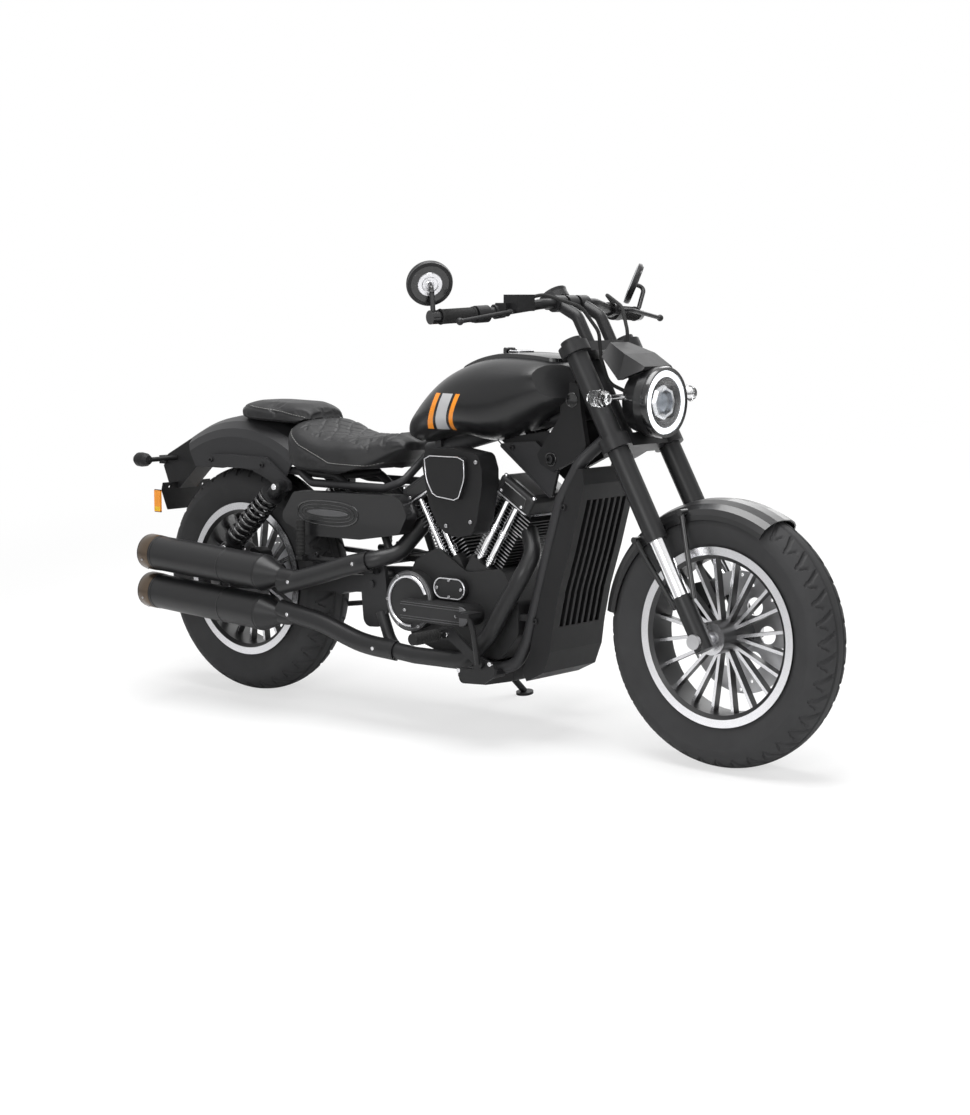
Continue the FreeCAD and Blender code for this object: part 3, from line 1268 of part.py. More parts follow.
AIR_LEFT = 102.0
AIR_RIGHT = 168.0
AIR_ROUND = 20.0
AIR_REAR = 785.0
AIR_FRONT = 986.0
AIR_LOW = 518.0
AIR_HIGH = 743.0
AIR_SHARES = [(0, 0.78), (0.05, 0.97), (0.5, 1), (0.93, 0.95), (1, 0.78), (1, 0.6), (0.915, 0.19), (0.83, 0.04),
              (0.6, 0), (0.4, 0.03), (0.26, 0.12), (0.12, 0.33)]
AIR_PANEL_RISE = 14.0
AIR_PANEL_SHARES = [(0.08, 0.91), (0.77, 0.91), (0.77, 0.67), (0.66, 0.42), (0.25, 0.46), (0.13, 0.64)]
AIR_MOUTH_RADIUS = 38.0


def air_cleaner():
    """The wedge-shaped air cleaner between the cylinders, with its raised panel."""
    body = soft_plate(spread(AIR_REAR, AIR_FRONT, AIR_LOW, AIR_HIGH, AIR_SHARES), -AIR_RIGHT, -AIR_LEFT,
                      AIR_ROUND)
    panel = soft_plate(spread(AIR_REAR, AIR_FRONT, AIR_LOW, AIR_HIGH, AIR_PANEL_SHARES),
                       -AIR_RIGHT - AIR_PANEL_RISE, -AIR_RIGHT, AIR_ROUND / 2)
    middle = V(CRANK_X, 0, (AIR_LOW + AIR_HIGH) / 2)
    mouth = rod(middle - ALONG_Y * (AIR_LEFT + OVERRUN), middle, AIR_MOUTH_RADIUS)
    return joined([body, panel, mouth]).cut(cylinders())


CLUTCH_X = 711.0
CLUTCH_Z = 334.0
CLUTCH_RADIUS = 78.0
CLUTCH_RIGHT = 142.0
CAPSULE_REAR = 692.0
CAPSULE_FRONT = 944.0
CAPSULE_Z = 316.0
CAPSULE_HALF = 27.0
CAPSULE_RIGHT = 172.0
CAM_X = 838.0
CAM_Z = 376.0
CAM_HALF_X = 54.0
CAM_HALF_Z = 28.0
CAM_RIGHT = 124.0
LEFT_COVER_RADIUS = 92.0
LEFT_COVER_OUT = 146.0
LEFT_COVER_STEP = 12.0


def capsule(x_low, x_high, z, half, y_low, y_high):
    """A bar with round ends, thick along Y."""
    return joined([box(x_low + half, x_high - half, y_low, y_high, z - half, z + half),
                   rod(V(x_low + half, y_low, z), V(x_low + half, y_high, z), half),
                   rod(V(x_high - half, y_low, z), V(x_high - half, y_high, z), half)])


def engine_covers():
    """Clutch and cam covers on the right, flywheel and sprocket covers on the left."""
    disc = rod(V(CLUTCH_X, -CLUTCH_RIGHT, CLUTCH_Z), V(CLUTCH_X, -ENGINE_HALF, CLUTCH_Z), CLUTCH_RADIUS)
    bar = capsule(CAPSULE_REAR, CAPSULE_FRONT, CAPSULE_Z, CAPSULE_HALF, -CAPSULE_RIGHT, -ENGINE_HALF)
    cam = capsule(CAM_X - CAM_HALF_X, CAM_X + CAM_HALF_X, CAM_Z, CAM_HALF_Z, -CAM_RIGHT, -ENGINE_HALF)
    right = joined([disc, bar, cam])
    wheel = rod(V(CRANK_X, ENGINE_HALF, CRANK_Z), V(CRANK_X, LEFT_COVER_OUT, CRANK_Z), LEFT_COVER_RADIUS)
    hub = rod(V(CRANK_X, LEFT_COVER_OUT, CRANK_Z), V(CRANK_X, LEFT_COVER_OUT + LEFT_COVER_STEP, CRANK_Z),
              LEFT_COVER_RADIUS / 2)
    return group([right, joined([wheel, hub])])


# Radiator and its shroud

RADIATOR_TOP = (1206.0, 622.0)
RADIATOR_LOW = (1116.0, 300.0)
RADIATOR_THICK = 26.0
RADIATOR_LUG_HALF = 8.0
RADIATOR_LUG_SHARES = (0.12, 0.7)
SHROUD_HALF = 106.0
SHROUD_CHEEK = 18.0
RADIATOR_HALF = SHROUD_HALF - SHROUD_CHEEK - GAP
SHROUD_FACE = 15.0
SHROUD_REAR = 1060.0
SHROUD_FRONT = 1272.0
SHROUD_LOW = 160.0
SHROUD_HIGH = 706.0
SHROUD_FACE_SHARES = [(0.1, 0), (0.36, 0.05), (0.46, 0.15), (0.5, 0.265), (0.59, 0.43), (0.74, 0.617),
                      (0.88, 0.817), (0.95, 0.93), (0.93, 1)]
SHROUD_BACK_SHARES = [(0.86, 1), (0.7, 0.9), (0.535, 0.7), (0.33, 0.44), (0.21, 0.24), (0.15, 0.14),
                      (0.04, 0.045)]
WINDOW_LOW = 304.0
WINDOW_HIGH = 628.0
WINDOW_HALF = 80.0
WINDOWS = 7
SLAT_WIDTH = 9.0
BELLY_REAR = 830.0
BELLY_FRONT = 1016.0
BELLY_LOW = 122.0
BELLY_HIGH = 196.0
BELLY_HALF = 78.0
BELLY_ROUND = 16.0
BELLY_TAB_THICK = 5.0
BELLY_SHARES = [(0, 0), (0.5, 0.08), (1, 0.36), (1, 1), (0, 1)]


def radiator():
    """The radiator core in front of the downtubes."""
    low_x, low_z = RADIATOR_LOW
    top_x, top_z = RADIATOR_TOP
    along = V(top_x - low_x, 0, top_z - low_z)
    core = box(-RADIATOR_THICK / 2, RADIATOR_THICK / 2, -RADIATOR_HALF, RADIATOR_HALF, 0, along.Length)
    core.rotate(V(0, 0, 0), ALONG_Y, math.degrees(math.atan2(along.x, along.z)))
    pieces = [moved(core, V(low_x, 0, low_z))]
    tube_top, _, tube_z = DOWNTUBE_SHOULDER
    tube_low, y, knee_z = DOWNTUBE_KNEE
    lug_y = y - TUBE_RADIUS
    for share in RADIATOR_LUG_SHARES:
        z = low_z + along.z * share
        tube_x = tube_low + (tube_top - tube_low) * (z - knee_z) / (tube_z - knee_z)
        for side in SIDES:
            pieces.append(box(tube_x, low_x + along.x * share, side * lug_y - RADIATOR_LUG_HALF,
                              side * lug_y + RADIATOR_LUG_HALF, z - RADIATOR_LUG_HALF, z + RADIATOR_LUG_HALF))
    return joined(pieces).cut(whole_frame())


def radiator_shroud():
    """The shroud around the radiator: cheeks, top and chin, with upright slats across its face."""
    face = spread(SHROUD_REAR, SHROUD_FRONT, SHROUD_LOW, SHROUD_HIGH, SHROUD_FACE_SHARES)
    back = spread(SHROUD_REAR, SHROUD_FRONT, SHROUD_LOW, SHROUD_HIGH, SHROUD_BACK_SHARES)
    body = plate(face + back, -SHROUD_HALF, SHROUD_HALF)
    inside = [(x - SHROUD_FACE, z) for x, z in face]
    inside = [(inside[0][0], SHROUD_LOW - OVERRUN)] + inside + [
        (inside[-1][0], SHROUD_HIGH + OVERRUN), (SHROUD_REAR - OVERRUN, SHROUD_HIGH + OVERRUN),
        (SHROUD_REAR - OVERRUN, SHROUD_LOW - OVERRUN)]
    body = body.cut(plate(inside, -SHROUD_HALF + SHROUD_CHEEK, SHROUD_HALF - SHROUD_CHEEK))
    pitch = (WINDOW_HALF * 2 + SLAT_WIDTH) / WINDOWS
    for step in range(WINDOWS):
        low = -WINDOW_HALF + pitch * step
        body = body.cut(box(SHROUD_REAR, SHROUD_FRONT, low, low + pitch - SLAT_WIDTH, WINDOW_LOW, WINDOW_HIGH))
    return body.cut(whole_frame())


def belly_pan():
    """The pan under the front of the crankcase, with its tabs on the cradle tubes."""
    pan = soft_plate(spread(BELLY_REAR, BELLY_FRONT, BELLY_LOW, BELLY_HIGH, BELLY_SHARES), -BELLY_HALF,
                     BELLY_HALF, BELLY_ROUND)
    middle = (BELLY_REAR + BELLY_FRONT) / 2
    _, reach, high = CRADLE_FRONT
    tab = box(middle - BELLY_ROUND, middle + BELLY_ROUND, -reach, reach, high, high + BELLY_TAB_THICK)
    return joined([pan, tab]).cut(whole_frame())


# Exhaust

PIPE_RADIUS = 22.0
PIPE_BEND = 70.0
SILENCER_RADIUS = 49.0
SILENCER_Y = 204.0
SILENCER_REAR = -237.0
SILENCER_FRONT = 241.0
UPPER_REAR_Z = 397.0
UPPER_FRONT_Z = 375.0
LOWER_REAR_Z = 288.0
LOWER_FRONT_Z = 265.0
TIP_LENGTH = 28.0
CONE_LENGTH = 62.0
TIP_BORE = 34.0
TIP_DEPTH = 60.0


def silencer(rear_z, front_z):
    """One silencer: end cap with its outlet, long can and front cone."""
    rear = V(SILENCER_REAR, -SILENCER_Y, rear_z)
    front = V(SILENCER_FRONT, -SILENCER_Y, front_z)
    run = front - rear
    along = V(run)
    along.normalize()
    can = rod(rear, front, SILENCER_RADIUS)
    cone = Part.makeCone(SILENCER_RADIUS, PIPE_RADIUS, CONE_LENGTH, front, along)
    outlet = rod(rear - along * OVERRUN, rear + along * TIP_DEPTH, TIP_BORE)
    return joined([can, cone]).cut(outlet)


def silencers():
    """Both silencers, one above the other."""
    return group([silencer(UPPER_REAR_Z, UPPER_FRONT_Z), silencer(LOWER_REAR_Z, LOWER_FRONT_Z)])


UPPER_PIPE = [(366.0, 198.0, 366.0), (441.0, 192.0, 388.0), (560.0, 188.0, 424.0), (628.0, 178.0, 440.0),
              (662.0, 128.0, 452.0), (695.0, 56.0, 534.0)]
LOWER_PIPE = [(365.0, 200.0, 270.0), (450.0, 190.0, 254.0), (580.0, 180.0, 216.0), (760.0, 170.0, 200.0),
              (925.0, 158.0, 200.0), (985.0, 140.0, 270.0), (1040.0, 134.0, 360.0), (1086.0, 124.0, 436.0),
              (1092.0, 92.0, 484.0), (1049.0, 56.0, 536.0)]


def exhaust_pipe(route, rear_z, front_z):
    """A bent pipe from a cylinder head to the end of a silencer's cone."""
    rear = V(SILENCER_REAR, -SILENCER_Y, rear_z)
    front = V(SILENCER_FRONT, -SILENCER_Y, front_z)
    along = front - rear
    along.normalize()
    start = front + along * (CONE_LENGTH + GAP)
    bent = pipe([start, start + along * PIPE_RADIUS] + [side_point(place, -1) for place in route],
                PIPE_RADIUS, PIPE_BEND)
    trimmed = bent.cut(cylinders())
    return max(trimmed.Solids, key=lambda solid: solid.Volume)


def exhaust_pipes():
    """The rear cylinder's upper pipe and the front cylinder's lower pipe."""
    return group([exhaust_pipe(UPPER_PIPE, UPPER_REAR_Z, UPPER_FRONT_Z),
                  exhaust_pipe(LOWER_PIPE, LOWER_REAR_Z, LOWER_FRONT_Z)])


# Tank, seats, fender and side panels

TANK_REAR = 633.0
TANK_FRONT = 1186.0
TANK_HALF = 156.0
TANK_LOW = 757.0
TANK_HIGH = 983.0
TANK_ROUND = 2.5
TANK_ROWS_SHARES = [(0, 0.32, -0.034, 0.196), (0.08, 0.559, -0.067, 0.358), (0.2, 0.777, -0.018, 0.589),
                    (0.36, 0.947, 0.049, 0.824), (0.56, 1, 0, 0.955), (0.75, 0.943, 0.149, 0.965),
                    (0.9, 0.828, 0.36, 0.93), (1, 0.595, 0.52, 0.8)]
FUEL_CAP_RADIUS = 32.0
FUEL_CAP_X = 975.0
FUEL_CAP_SINK = 6.0
FUEL_CAP_GAP = 2.5
FUEL_CAP_LUG = 9.0
CAP_PIN_RADIUS = 2.5
CAP_PIN_RISE = 6.0
TRIM_REAR = 800.0
TRIM_FRONT = 1142.0
TRIM_HALF = 70.0
TRIM_HIGH = 984.0
TRIM_RISE = 9.0
TRIM_ROUND = 34.0


def lofted(rear, front, half, low, high, rows, squareness):
    """A smooth body from share rows of (along, half width, bottom, top)."""
    wires = []
    for along, wide, bottom, top in rows:
        wires.append(section(rear + (front - rear) * along, half * wide, low + (high - low) * bottom,
                             low + (high - low) * top, squareness))
    return skin(wires)


def tank_form():
    """The tank's outer form without its tunnel."""
    return lofted(TANK_REAR, TANK_FRONT, TANK_HALF, TANK_LOW, TANK_HIGH, TANK_ROWS_SHARES, TANK_ROUND)


def fuel_tank():
    """The fuel tank, open underneath where the backbone runs."""
    tunnel = box(TANK_REAR - OVERRUN, TANK_FRONT + OVERRUN, -TUNNEL_HALF, TUNNEL_HALF,
                 TANK_LOW - (TANK_HIGH - TANK_LOW) / 4, TUNNEL_HIGH)
    return tank_form().cut(tunnel).cut(steering_sweep()).cut(cap_well()).cut(backbone())


def cap_well():
    """The round well that the filler cap closes."""
    return rod(V(FUEL_CAP_X, 0, TRIM_HIGH - FUEL_CAP_SINK - GAP), V(FUEL_CAP_X, 0, TRIM_HIGH + TRIM_RISE),
               FUEL_CAP_RADIUS + FUEL_CAP_GAP)


def tank_trim():
    """The raised panel that follows the top of the tank, flat around the filler."""
    outline = [(TRIM_REAR, -TRIM_HALF * WAIST_SHARE), (TRIM_FRONT, -TRIM_HALF), (TRIM_FRONT, TRIM_HALF),
               (TRIM_REAR, TRIM_HALF * WAIST_SHARE)]
    panel = soft_plate(outline, 0, TANK_HIGH - TANK_LOW, TRIM_ROUND)
    panel.rotate(V(0, 0, 0), ALONG_X, FULL_TURN / 4)
    panel = moved(panel, V(0, 0, TRIM_HIGH - (TANK_HIGH - TANK_LOW)))
    panel = panel.common(moved(tank_form(), ALONG_Z * TRIM_RISE)).cut(tank_form())
    hinge = cap_hinge()
    pieces = [panel.cut(cap_well()).cut(steering_sweep())]
    for side in SIDES:
        near = hinge + ALONG_Y * side * (FUEL_CAP_LUG + GAP)
        far = near + ALONG_Y * side * FUEL_CAP_LUG
        pieces.append(rod(near, far, CAP_PIN_RADIUS * 2))
        y_low, y_high = sorted((near.y, far.y))
        pieces.append(box(hinge.x - CAP_PIN_RADIUS * 2, hinge.x + CAP_PIN_RADIUS * 2, y_low, y_high,
                          TRIM_HIGH - OVERRUN, hinge.z))
    pieces.append(rod(hinge - ALONG_Y * FUEL_CAP_LUG * 2, hinge + ALONG_Y * FUEL_CAP_LUG * 2, CAP_PIN_RADIUS))
    return joined(pieces)


def cap_hinge():
    """The middle of the filler cap's hinge pin, at the rear of the cap."""
    return V(FUEL_CAP_X - FUEL_CAP_RADIUS - CAP_PIN_RADIUS * 3, 0, TRIM_HIGH + CAP_PIN_RISE)


def fuel_cap():
    """The flat filler cap, hinged at its rear."""
    base = V(FUEL_CAP_X, 0, TRIM_HIGH - FUEL_CAP_SINK)
    lid = rod(base, base + ALONG_Z * (FUEL_CAP_SINK + CAP_PIN_RADIUS), FUEL_CAP_RADIUS)
    hinge = cap_hinge()
    lug = joined([rod(hinge - ALONG_Y * FUEL_CAP_LUG, hinge + ALONG_Y * FUEL_CAP_LUG, CAP_PIN_RADIUS * 2),
                  box(hinge.x, hinge.x + FUEL_CAP_LUG * 2, -FUEL_CAP_LUG, FUEL_CAP_LUG,
                      TRIM_HIGH + CAP_PIN_RADIUS / 2, hinge.z)])
    pin = rod(hinge - ALONG_Y * TRIM_HALF, hinge + ALONG_Y * TRIM_HALF, CAP_PIN_RADIUS + FIT)
    return joined([lid, lug]).cut(pin)


# Neck covers between the tank and the shroud

NECK_IN = 54.0
NECK_OUT = 70.0
NECK_REAR = 1084.0
NECK_FRONT = 1240.0
NECK_LOW = 690.0
NECK_HIGH = 922.0
NECK_SHARES = [(0, 0.18), (0.07, 0.08), (0.32, 0), (0.75, 0.14), (1, 0.3), (0.9, 0.65), (0.84, 0.94), (0.5, 1),
               (0.47, 0.6)]
NECK_ROUND = 10.0


def neck_covers():
    """The faceted covers on both sides of the steering head."""
    cover = soft_plate(spread(NECK_REAR, NECK_FRONT, NECK_LOW, NECK_HIGH, NECK_SHARES), -NECK_OUT, -NECK_IN,
                       NECK_ROUND).cut(moved(tank_form(), V(0, 0, -GAP))).cut(tank_form()).cut(whole_frame())
    return both_sides(max(cover.Solids, key=lambda solid: solid.Volume))


# Seats and rear fender

FENDER_RADIUS = 456.0
FENDER_AHEAD = 20.0
FENDER_ABOVE = 12.0
REAR_FENDER_HALF = 104.0
REAR_FENDER_SKIRT = 146.0
REAR_FENDER_CROWN = 60.0
REAR_FENDER_WALL = 5.0
REAR_FENDER_BACK_DEG = 119.0
REAR_FENDER_FRONT_DEG = 56.0
REAR_FENDER_LOW = 640.0
REAR_FENDER_STEP = 90.0
REAR_FENDER_CENTRE = REAR_AXLE + V(FENDER_AHEAD, 0, FENDER_ABOVE)
SEAT_REAR = 236.0
SEAT_FRONT = 640.0
SEAT_HALF = 153.0
SEAT_LOW = 640.0
SEAT_HIGH = 794.0
SEAT_SQUARE = 3.2
SEAT_BASE_HALF = 125.0
SEAT_BASE_HIGH = 663.0
SEAT_ROWS_SHARES = [(0, 0.76, 0.17, 0.87), (0.16, 0.97, -0.05, 0.9), (0.36, 0.99, -0.03, 0.72),
                    (0.56, 0.97, -0.03, 0.7), (0.76, 0.78, 0.16, 0.72), (0.9, 0.6, 0.38, 0.78), (1, 0.46, 0.5, 0.7)]
PILLION_REAR = 0.0
PILLION_FRONT = 283.0
PILLION_HALF = 111.0
PILLION_LOW = 767.0
PILLION_HIGH = 829.0
PILLION_ROWS_SHARES = [(0, 0.5, 0.29, 0.66), (0.1, 0.8, 0.19, 0.93), (0.32, 1, 0.1, 1), (0.62, 0.95, 0.05, 0.98),
                       (0.88, 0.78, 0.02, 0.87), (1, 0.6, 0.19, 0.58)]


def fender_drum(extra):
    """The solid sector under the rear fender's skin, grown by a clearance."""
    outer = fender_arch(FENDER_RADIUS + extra, REAR_FENDER_HALF + extra, REAR_FENDER_SKIRT, REAR_FENDER_CROWN)
    return arched([(0, -REAR_FENDER_HALF - extra)] + outer + [(0, REAR_FENDER_HALF + extra)], [],
                  REAR_FENDER_BACK_DEG, REAR_FENDER_FRONT_DEG, REAR_FENDER_CENTRE)


def rear_fender():
    """The deep rear fender around the wheel."""
    shell = fender_shell(FENDER_RADIUS, REAR_FENDER_HALF, REAR_FENDER_SKIRT, REAR_FENDER_CROWN, REAR_FENDER_WALL,
                         REAR_FENDER_BACK_DEG, REAR_FENDER_FRONT_DEG, REAR_FENDER_CENTRE)
    below = box(-FENDER_RADIUS, REAR_FENDER_STEP, -FENDER_RADIUS, FENDER_RADIUS, 0, REAR_FENDER_LOW)
    return shell.cut(below)


def fender_spot(angle_deg, reach):
    """A place in the middle plane at one angle and radius about the rear fender's centre."""
    angle = math.radians(angle_deg)
    return REAR_FENDER_CENTRE + V(reach * math.cos(angle), 0, reach * math.sin(angle))


def seat_form():
    """The rider's seat before its underside is opened."""
    return lofted(SEAT_REAR, SEAT_FRONT, SEAT_HALF, SEAT_LOW, SEAT_HIGH, SEAT_ROWS_SHARES, SEAT_SQUARE)


def rider_seat():
    """The rider's seat on the frame rails, clear of tank and fender."""
    base = box(SEAT_REAR - OVERRUN, SEAT_FRONT + OVERRUN, -SEAT_BASE_HALF, SEAT_BASE_HALF,
               SEAT_LOW - (SEAT_HIGH - SEAT_LOW) / 4, SEAT_BASE_HIGH)
    tank = moved(tank_form(), V(-GAP, 0, -GAP))
    body = seat_form().cut(base).cut(fender_drum(GAP)).cut(tank).cut(whole_frame())
    return max(body.Solids, key=lambda solid: solid.Volume)


def pillion_seat():
    """The passenger's pad on top of the fender and the seat's rear."""
    pad = lofted(PILLION_REAR, PILLION_FRONT, PILLION_HALF, PILLION_LOW, PILLION_HIGH, PILLION_ROWS_SHARES,
                 SEAT_SQUARE)
    return pad.cut(fender_drum(GAP)).cut(moved(seat_form(), V(0, 0, GAP))).cut(seat_form())


STRUT_REAR = -104.0
STRUT_FRONT = 244.0
STRUT_LOW = 588.0
STRUT_HIGH = 681.0
STRUT_IN = REAR_FENDER_HALF + GAP
STRUT_OUT = STRUT_IN + 12.0
STRUT_ROUND = 8.0
STRUT_SHARES = [(0, 0.74), (0.09, 0.95), (0.3, 1), (0.73, 0.98), (1, 0.3), (1, 0.06), (0.92, 0), (0.87, 0.3),
                (0.68, 0.62), (0.07, 0.6)]


def fender_struts():
    """Cast struts along the fender that hold the tops of the shocks."""
    strut = soft_plate(spread(STRUT_REAR, STRUT_FRONT, STRUT_LOW, STRUT_HIGH, STRUT_SHARES), -STRUT_OUT,
                       -STRUT_IN, STRUT_ROUND)
    eye = rod(V(SHOCK_TOP_X, -STRUT_IN, SHOCK_TOP_Z), V(SHOCK_TOP_X, -STRUT_OUT, SHOCK_TOP_Z),
              SHOCK_EYE_RADIUS)
    stud = rod(V(SHOCK_TOP_X, -STRUT_OUT, SHOCK_TOP_Z),
               V(SHOCK_TOP_X, -SHOCK_Y - SHOCK_EYE_HALF, SHOCK_TOP_Z), SHOCK_PIN_RADIUS)
    return both_sides(joined([strut, eye, stud]))


PANEL_REAR = 238.0
PANEL_FRONT = 712.0
PANEL_LOW = 480.0
PANEL_HIGH = 608.0
PANEL_IN = 102.0
PANEL_OUT = 148.0
PANEL_ROUND = 22.0
PANEL_BOSS_RADIUS = 8.0
PANEL_SHARES = [(0, 0.3), (0.12, 0.92), (0.9, 1), (0.96, 0.9), (1, 0.6), (0.94, 0.2), (0.64, 0.02), (0.22, 0)]


def side_covers():
    """The bulged panels under the seat."""
    cover = soft_plate(spread(PANEL_REAR, PANEL_FRONT, PANEL_LOW, PANEL_HIGH, PANEL_SHARES), -PANEL_OUT,
                       -PANEL_IN, PANEL_ROUND).cut(seat_form())
    rail = (side_point(SEAT_RAIL_LOW, -1) + side_point(SEAT_RAIL_MID, -1)) / 2
    boss = rod(rail, V(rail.x, -PANEL_IN - SEAT_DEPTH, rail.z), PANEL_BOSS_RADIUS)
    body = joined([cover, boss]).cut(whole_frame()).cut(exhaust_pipes())
    return both_sides(max(body.Solids, key=lambda solid: solid.Volume))


# Tail: plate bracket, lamps and reflectors

PLATE_TOP_X = -306.0
PLATE_TOP_Z = 582.0
PLATE_LOW_X = -328.0
PLATE_LOW_Z = 500.0
PLATE_HALF = 92.0
PLATE_FOOT_HALF = 57.0
PLATE_BAR_SHARE = 0.72
PLATE_WALL = 3.0
PLATE_HOLE_RADIUS = 3.5
PLATE_HOLE_Y = 65.0
PLATE_HOLE_SHARE = 0.84
PLATE_ARM_HALF = 34.0
TAIL_ARM_REAR = -366.0
TAIL_ARM_FRONT = -170.0
TAIL_ARM_LOW = 562.0
TAIL_ARM_HIGH = 738.0
TAIL_ARM_SHARES = [(0, 0.36), (0.14, 0), (0.34, 0), (1, 0.64)]
TAIL_ARM_BACK_SHARES = [(0.1, 0.56)]
TAIL_ARM_DEG = 117.0


def plate_slope():
    """Lower middle of the plate and the direction up its face."""
    low = V(PLATE_LOW_X, 0, PLATE_LOW_Z)
    up = V(PLATE_TOP_X, 0, PLATE_TOP_Z) - low
    return low, up


def plate_bracket():
    """The arm under the fender's end and the blank plate holder with its two holes."""
    low, up = plate_slope()
    tilt = math.degrees(math.atan2(up.x, up.z))
    bar = up.Length * PLATE_BAR_SHARE
    corners = [V(0, -PLATE_FOOT_HALF, 0), V(0, PLATE_FOOT_HALF, 0), V(0, PLATE_HALF, bar),
               V(0, PLATE_HALF, up.Length), V(0, -PLATE_HALF, up.Length), V(0, -PLATE_HALF, bar)]
    holder = Part.Face(Part.makePolygon(corners + corners[:1])).extrude(V(PLATE_WALL, 0, 0))
    for side in SIDES:
        spot = V(-OVERRUN, side * PLATE_HOLE_Y, up.Length * PLATE_HOLE_SHARE)
        holder = holder.cut(rod(spot, spot + ALONG_X * (PLATE_WALL + OVERRUN * 2), PLATE_HOLE_RADIUS))
    holder.rotate(V(0, 0, 0), ALONG_Y, tilt)
    holder = moved(holder, low)
    hold = fender_spot(TAIL_ARM_DEG, FENDER_RADIUS - REAR_FENDER_WALL / 2)
    outline = spread(TAIL_ARM_REAR, TAIL_ARM_FRONT, TAIL_ARM_LOW, TAIL_ARM_HIGH, TAIL_ARM_SHARES)
    outline.append((hold.x, hold.z))
    outline += spread(TAIL_ARM_REAR, TAIL_ARM_FRONT, TAIL_ARM_LOW, TAIL_ARM_HIGH, TAIL_ARM_BACK_SHARES)
    arm = plate(outline, -PLATE_ARM_HALF, PLATE_ARM_HALF)
    return joined([holder, arm]).cut(rear_fender())


TAIL_LAMP_HALF = 44.0
TAIL_LAMP_X = -360.0
TAIL_LAMP_Z = 644.0
TAIL_LAMP_HEIGHT = 24.0
TAIL_LAMP_DEPTH = 14.0
REAR_INDICATOR_X = -303.0
REAR_INDICATOR_Y = 142.0
REAR_INDICATOR_Z = 651.0


def rear_lamps():
    """The tail lamp on the arm and both rear indicators on their stalks."""
    lamp = box(TAIL_LAMP_X - TAIL_LAMP_DEPTH, TAIL_LAMP_X + TAIL_LAMP_DEPTH, -TAIL_LAMP_HALF, TAIL_LAMP_HALF,
               TAIL_LAMP_Z - TAIL_LAMP_HEIGHT / 2, TAIL_LAMP_Z + TAIL_LAMP_HEIGHT / 2)
    pieces = [lamp.cut(plate_bracket())]
    for side in SIDES:
        bullet = indicator(REAR_INDICATOR_X, side * REAR_INDICATOR_Y, REAR_INDICATOR_Z, -1)
        middle = REAR_INDICATOR_X - INDICATOR_LENGTH / 2 + INDICATOR_RADIUS
        stalk = rod(V(middle, side * (PLATE_ARM_HALF + GAP), REAR_INDICATOR_Z),
                    V(middle, side * REAR_INDICATOR_Y, REAR_INDICATOR_Z), STALK_RADIUS)
        pieces.append(joined([bullet, stalk]))
    return group(pieces)


REFLECTOR_LENGTH = 62.0
REFLECTOR_HEIGHT = 26.0
REFLECTOR_DEPTH = 6.0
REFLECTOR_X = -324.0
REFLECTOR_Z = 528.0


def reflectors():
    """The amber reflectors on both edges of the plate holder."""
    pieces = []
    for side in SIDES:
        start = side * (PLATE_HALF + GAP)
        low, high = sorted((start, start + side * REFLECTOR_DEPTH))
        pieces.append(box(REFLECTOR_X - REFLECTOR_HEIGHT / 2, REFLECTOR_X + REFLECTOR_HEIGHT / 2, low, high,
                          REFLECTOR_Z - REFLECTOR_LENGTH / 2, REFLECTOR_Z + REFLECTOR_LENGTH / 2))
    return group(pieces)


# Foot controls and pegs

BRACKET_REAR = 872.0
BRACKET_FRONT = 1056.0
BRACKET_LOW = 150.0
BRACKET_HIGH = 290.0
BRACKET_IN = 190.0
BRACKET_OUT = 200.0
BRACKET_ROUND = 7.0
BRACKET_SHARES = [(0, 0.74), (0, 1), (0.2, 1), (0.7, 0.54), (0.92, 0.47), (1, 0.36), (0.98, 0.21), (0.8, 0.06),
                  (0.46, 0.04), (0.34, 0.13), (0.34, 0.3), (0.6, 0.3), (0.66, 0.37), (0.16, 0.78)]
BRACKET_BAR_RADIUS = 9.0
BRACKET_BAR_X = (980.0, 1016.0)
BRACKET_BAR_Z = 176.0
PEDAL_RADIUS = 7.0
PEDAL_PIVOT = (1010.0, 212.0, 210.0)
PEDAL_KNEE = (1016.0, 234.0, 290.0)
PEDAL_PAD = (1006.0, 242.0, 338.0)
PEDAL_PAD_LENGTH = 44.0
PEDAL_PAD_WIDTH = 50.0
PEDAL_PAD_THICK = 12.0
RIDER_PEG = (886.0, 214.0, 272.0)
PASSENGER_PEG = (345.0, 172.0, 420.0)
PEG_RADIUS = 15.0
PASSENGER_PEG_RADIUS = 12.0
PEG_LENGTH = 92.0
PEG_LUG_RADIUS = 8.0
PEG_LUG_HALF = 7.0
PEG_EAR = 5.0
PEG_PIN_RADIUS = 3.5
PEG_ROOT = 12.0


def clevis(place, side, root_y):
    """Two ears with a pin along X, reaching outwards from a bracket's face."""
    middle = side_point(place, side)
    ears = []
    for way in SIDES:
        near = middle + ALONG_X * way * (PEG_LUG_HALF + GAP)
        far = near + ALONG_X * way * PEG_EAR
        ears.append(rod(near, far, PEG_LUG_RADIUS))
        low, high = sorted((near.x, far.x))
        y_low, y_high = sorted((side * root_y, middle.y))
        ears.append(box(low, high, y_low, y_high, middle.z - PEG_LUG_RADIUS, middle.z + PEG_LUG_RADIUS))
    reach = ALONG_X * (PEG_LUG_HALF + PEG_EAR)
    ears.append(rod(middle - reach, middle + reach, PEG_PIN_RADIUS))
    return ears


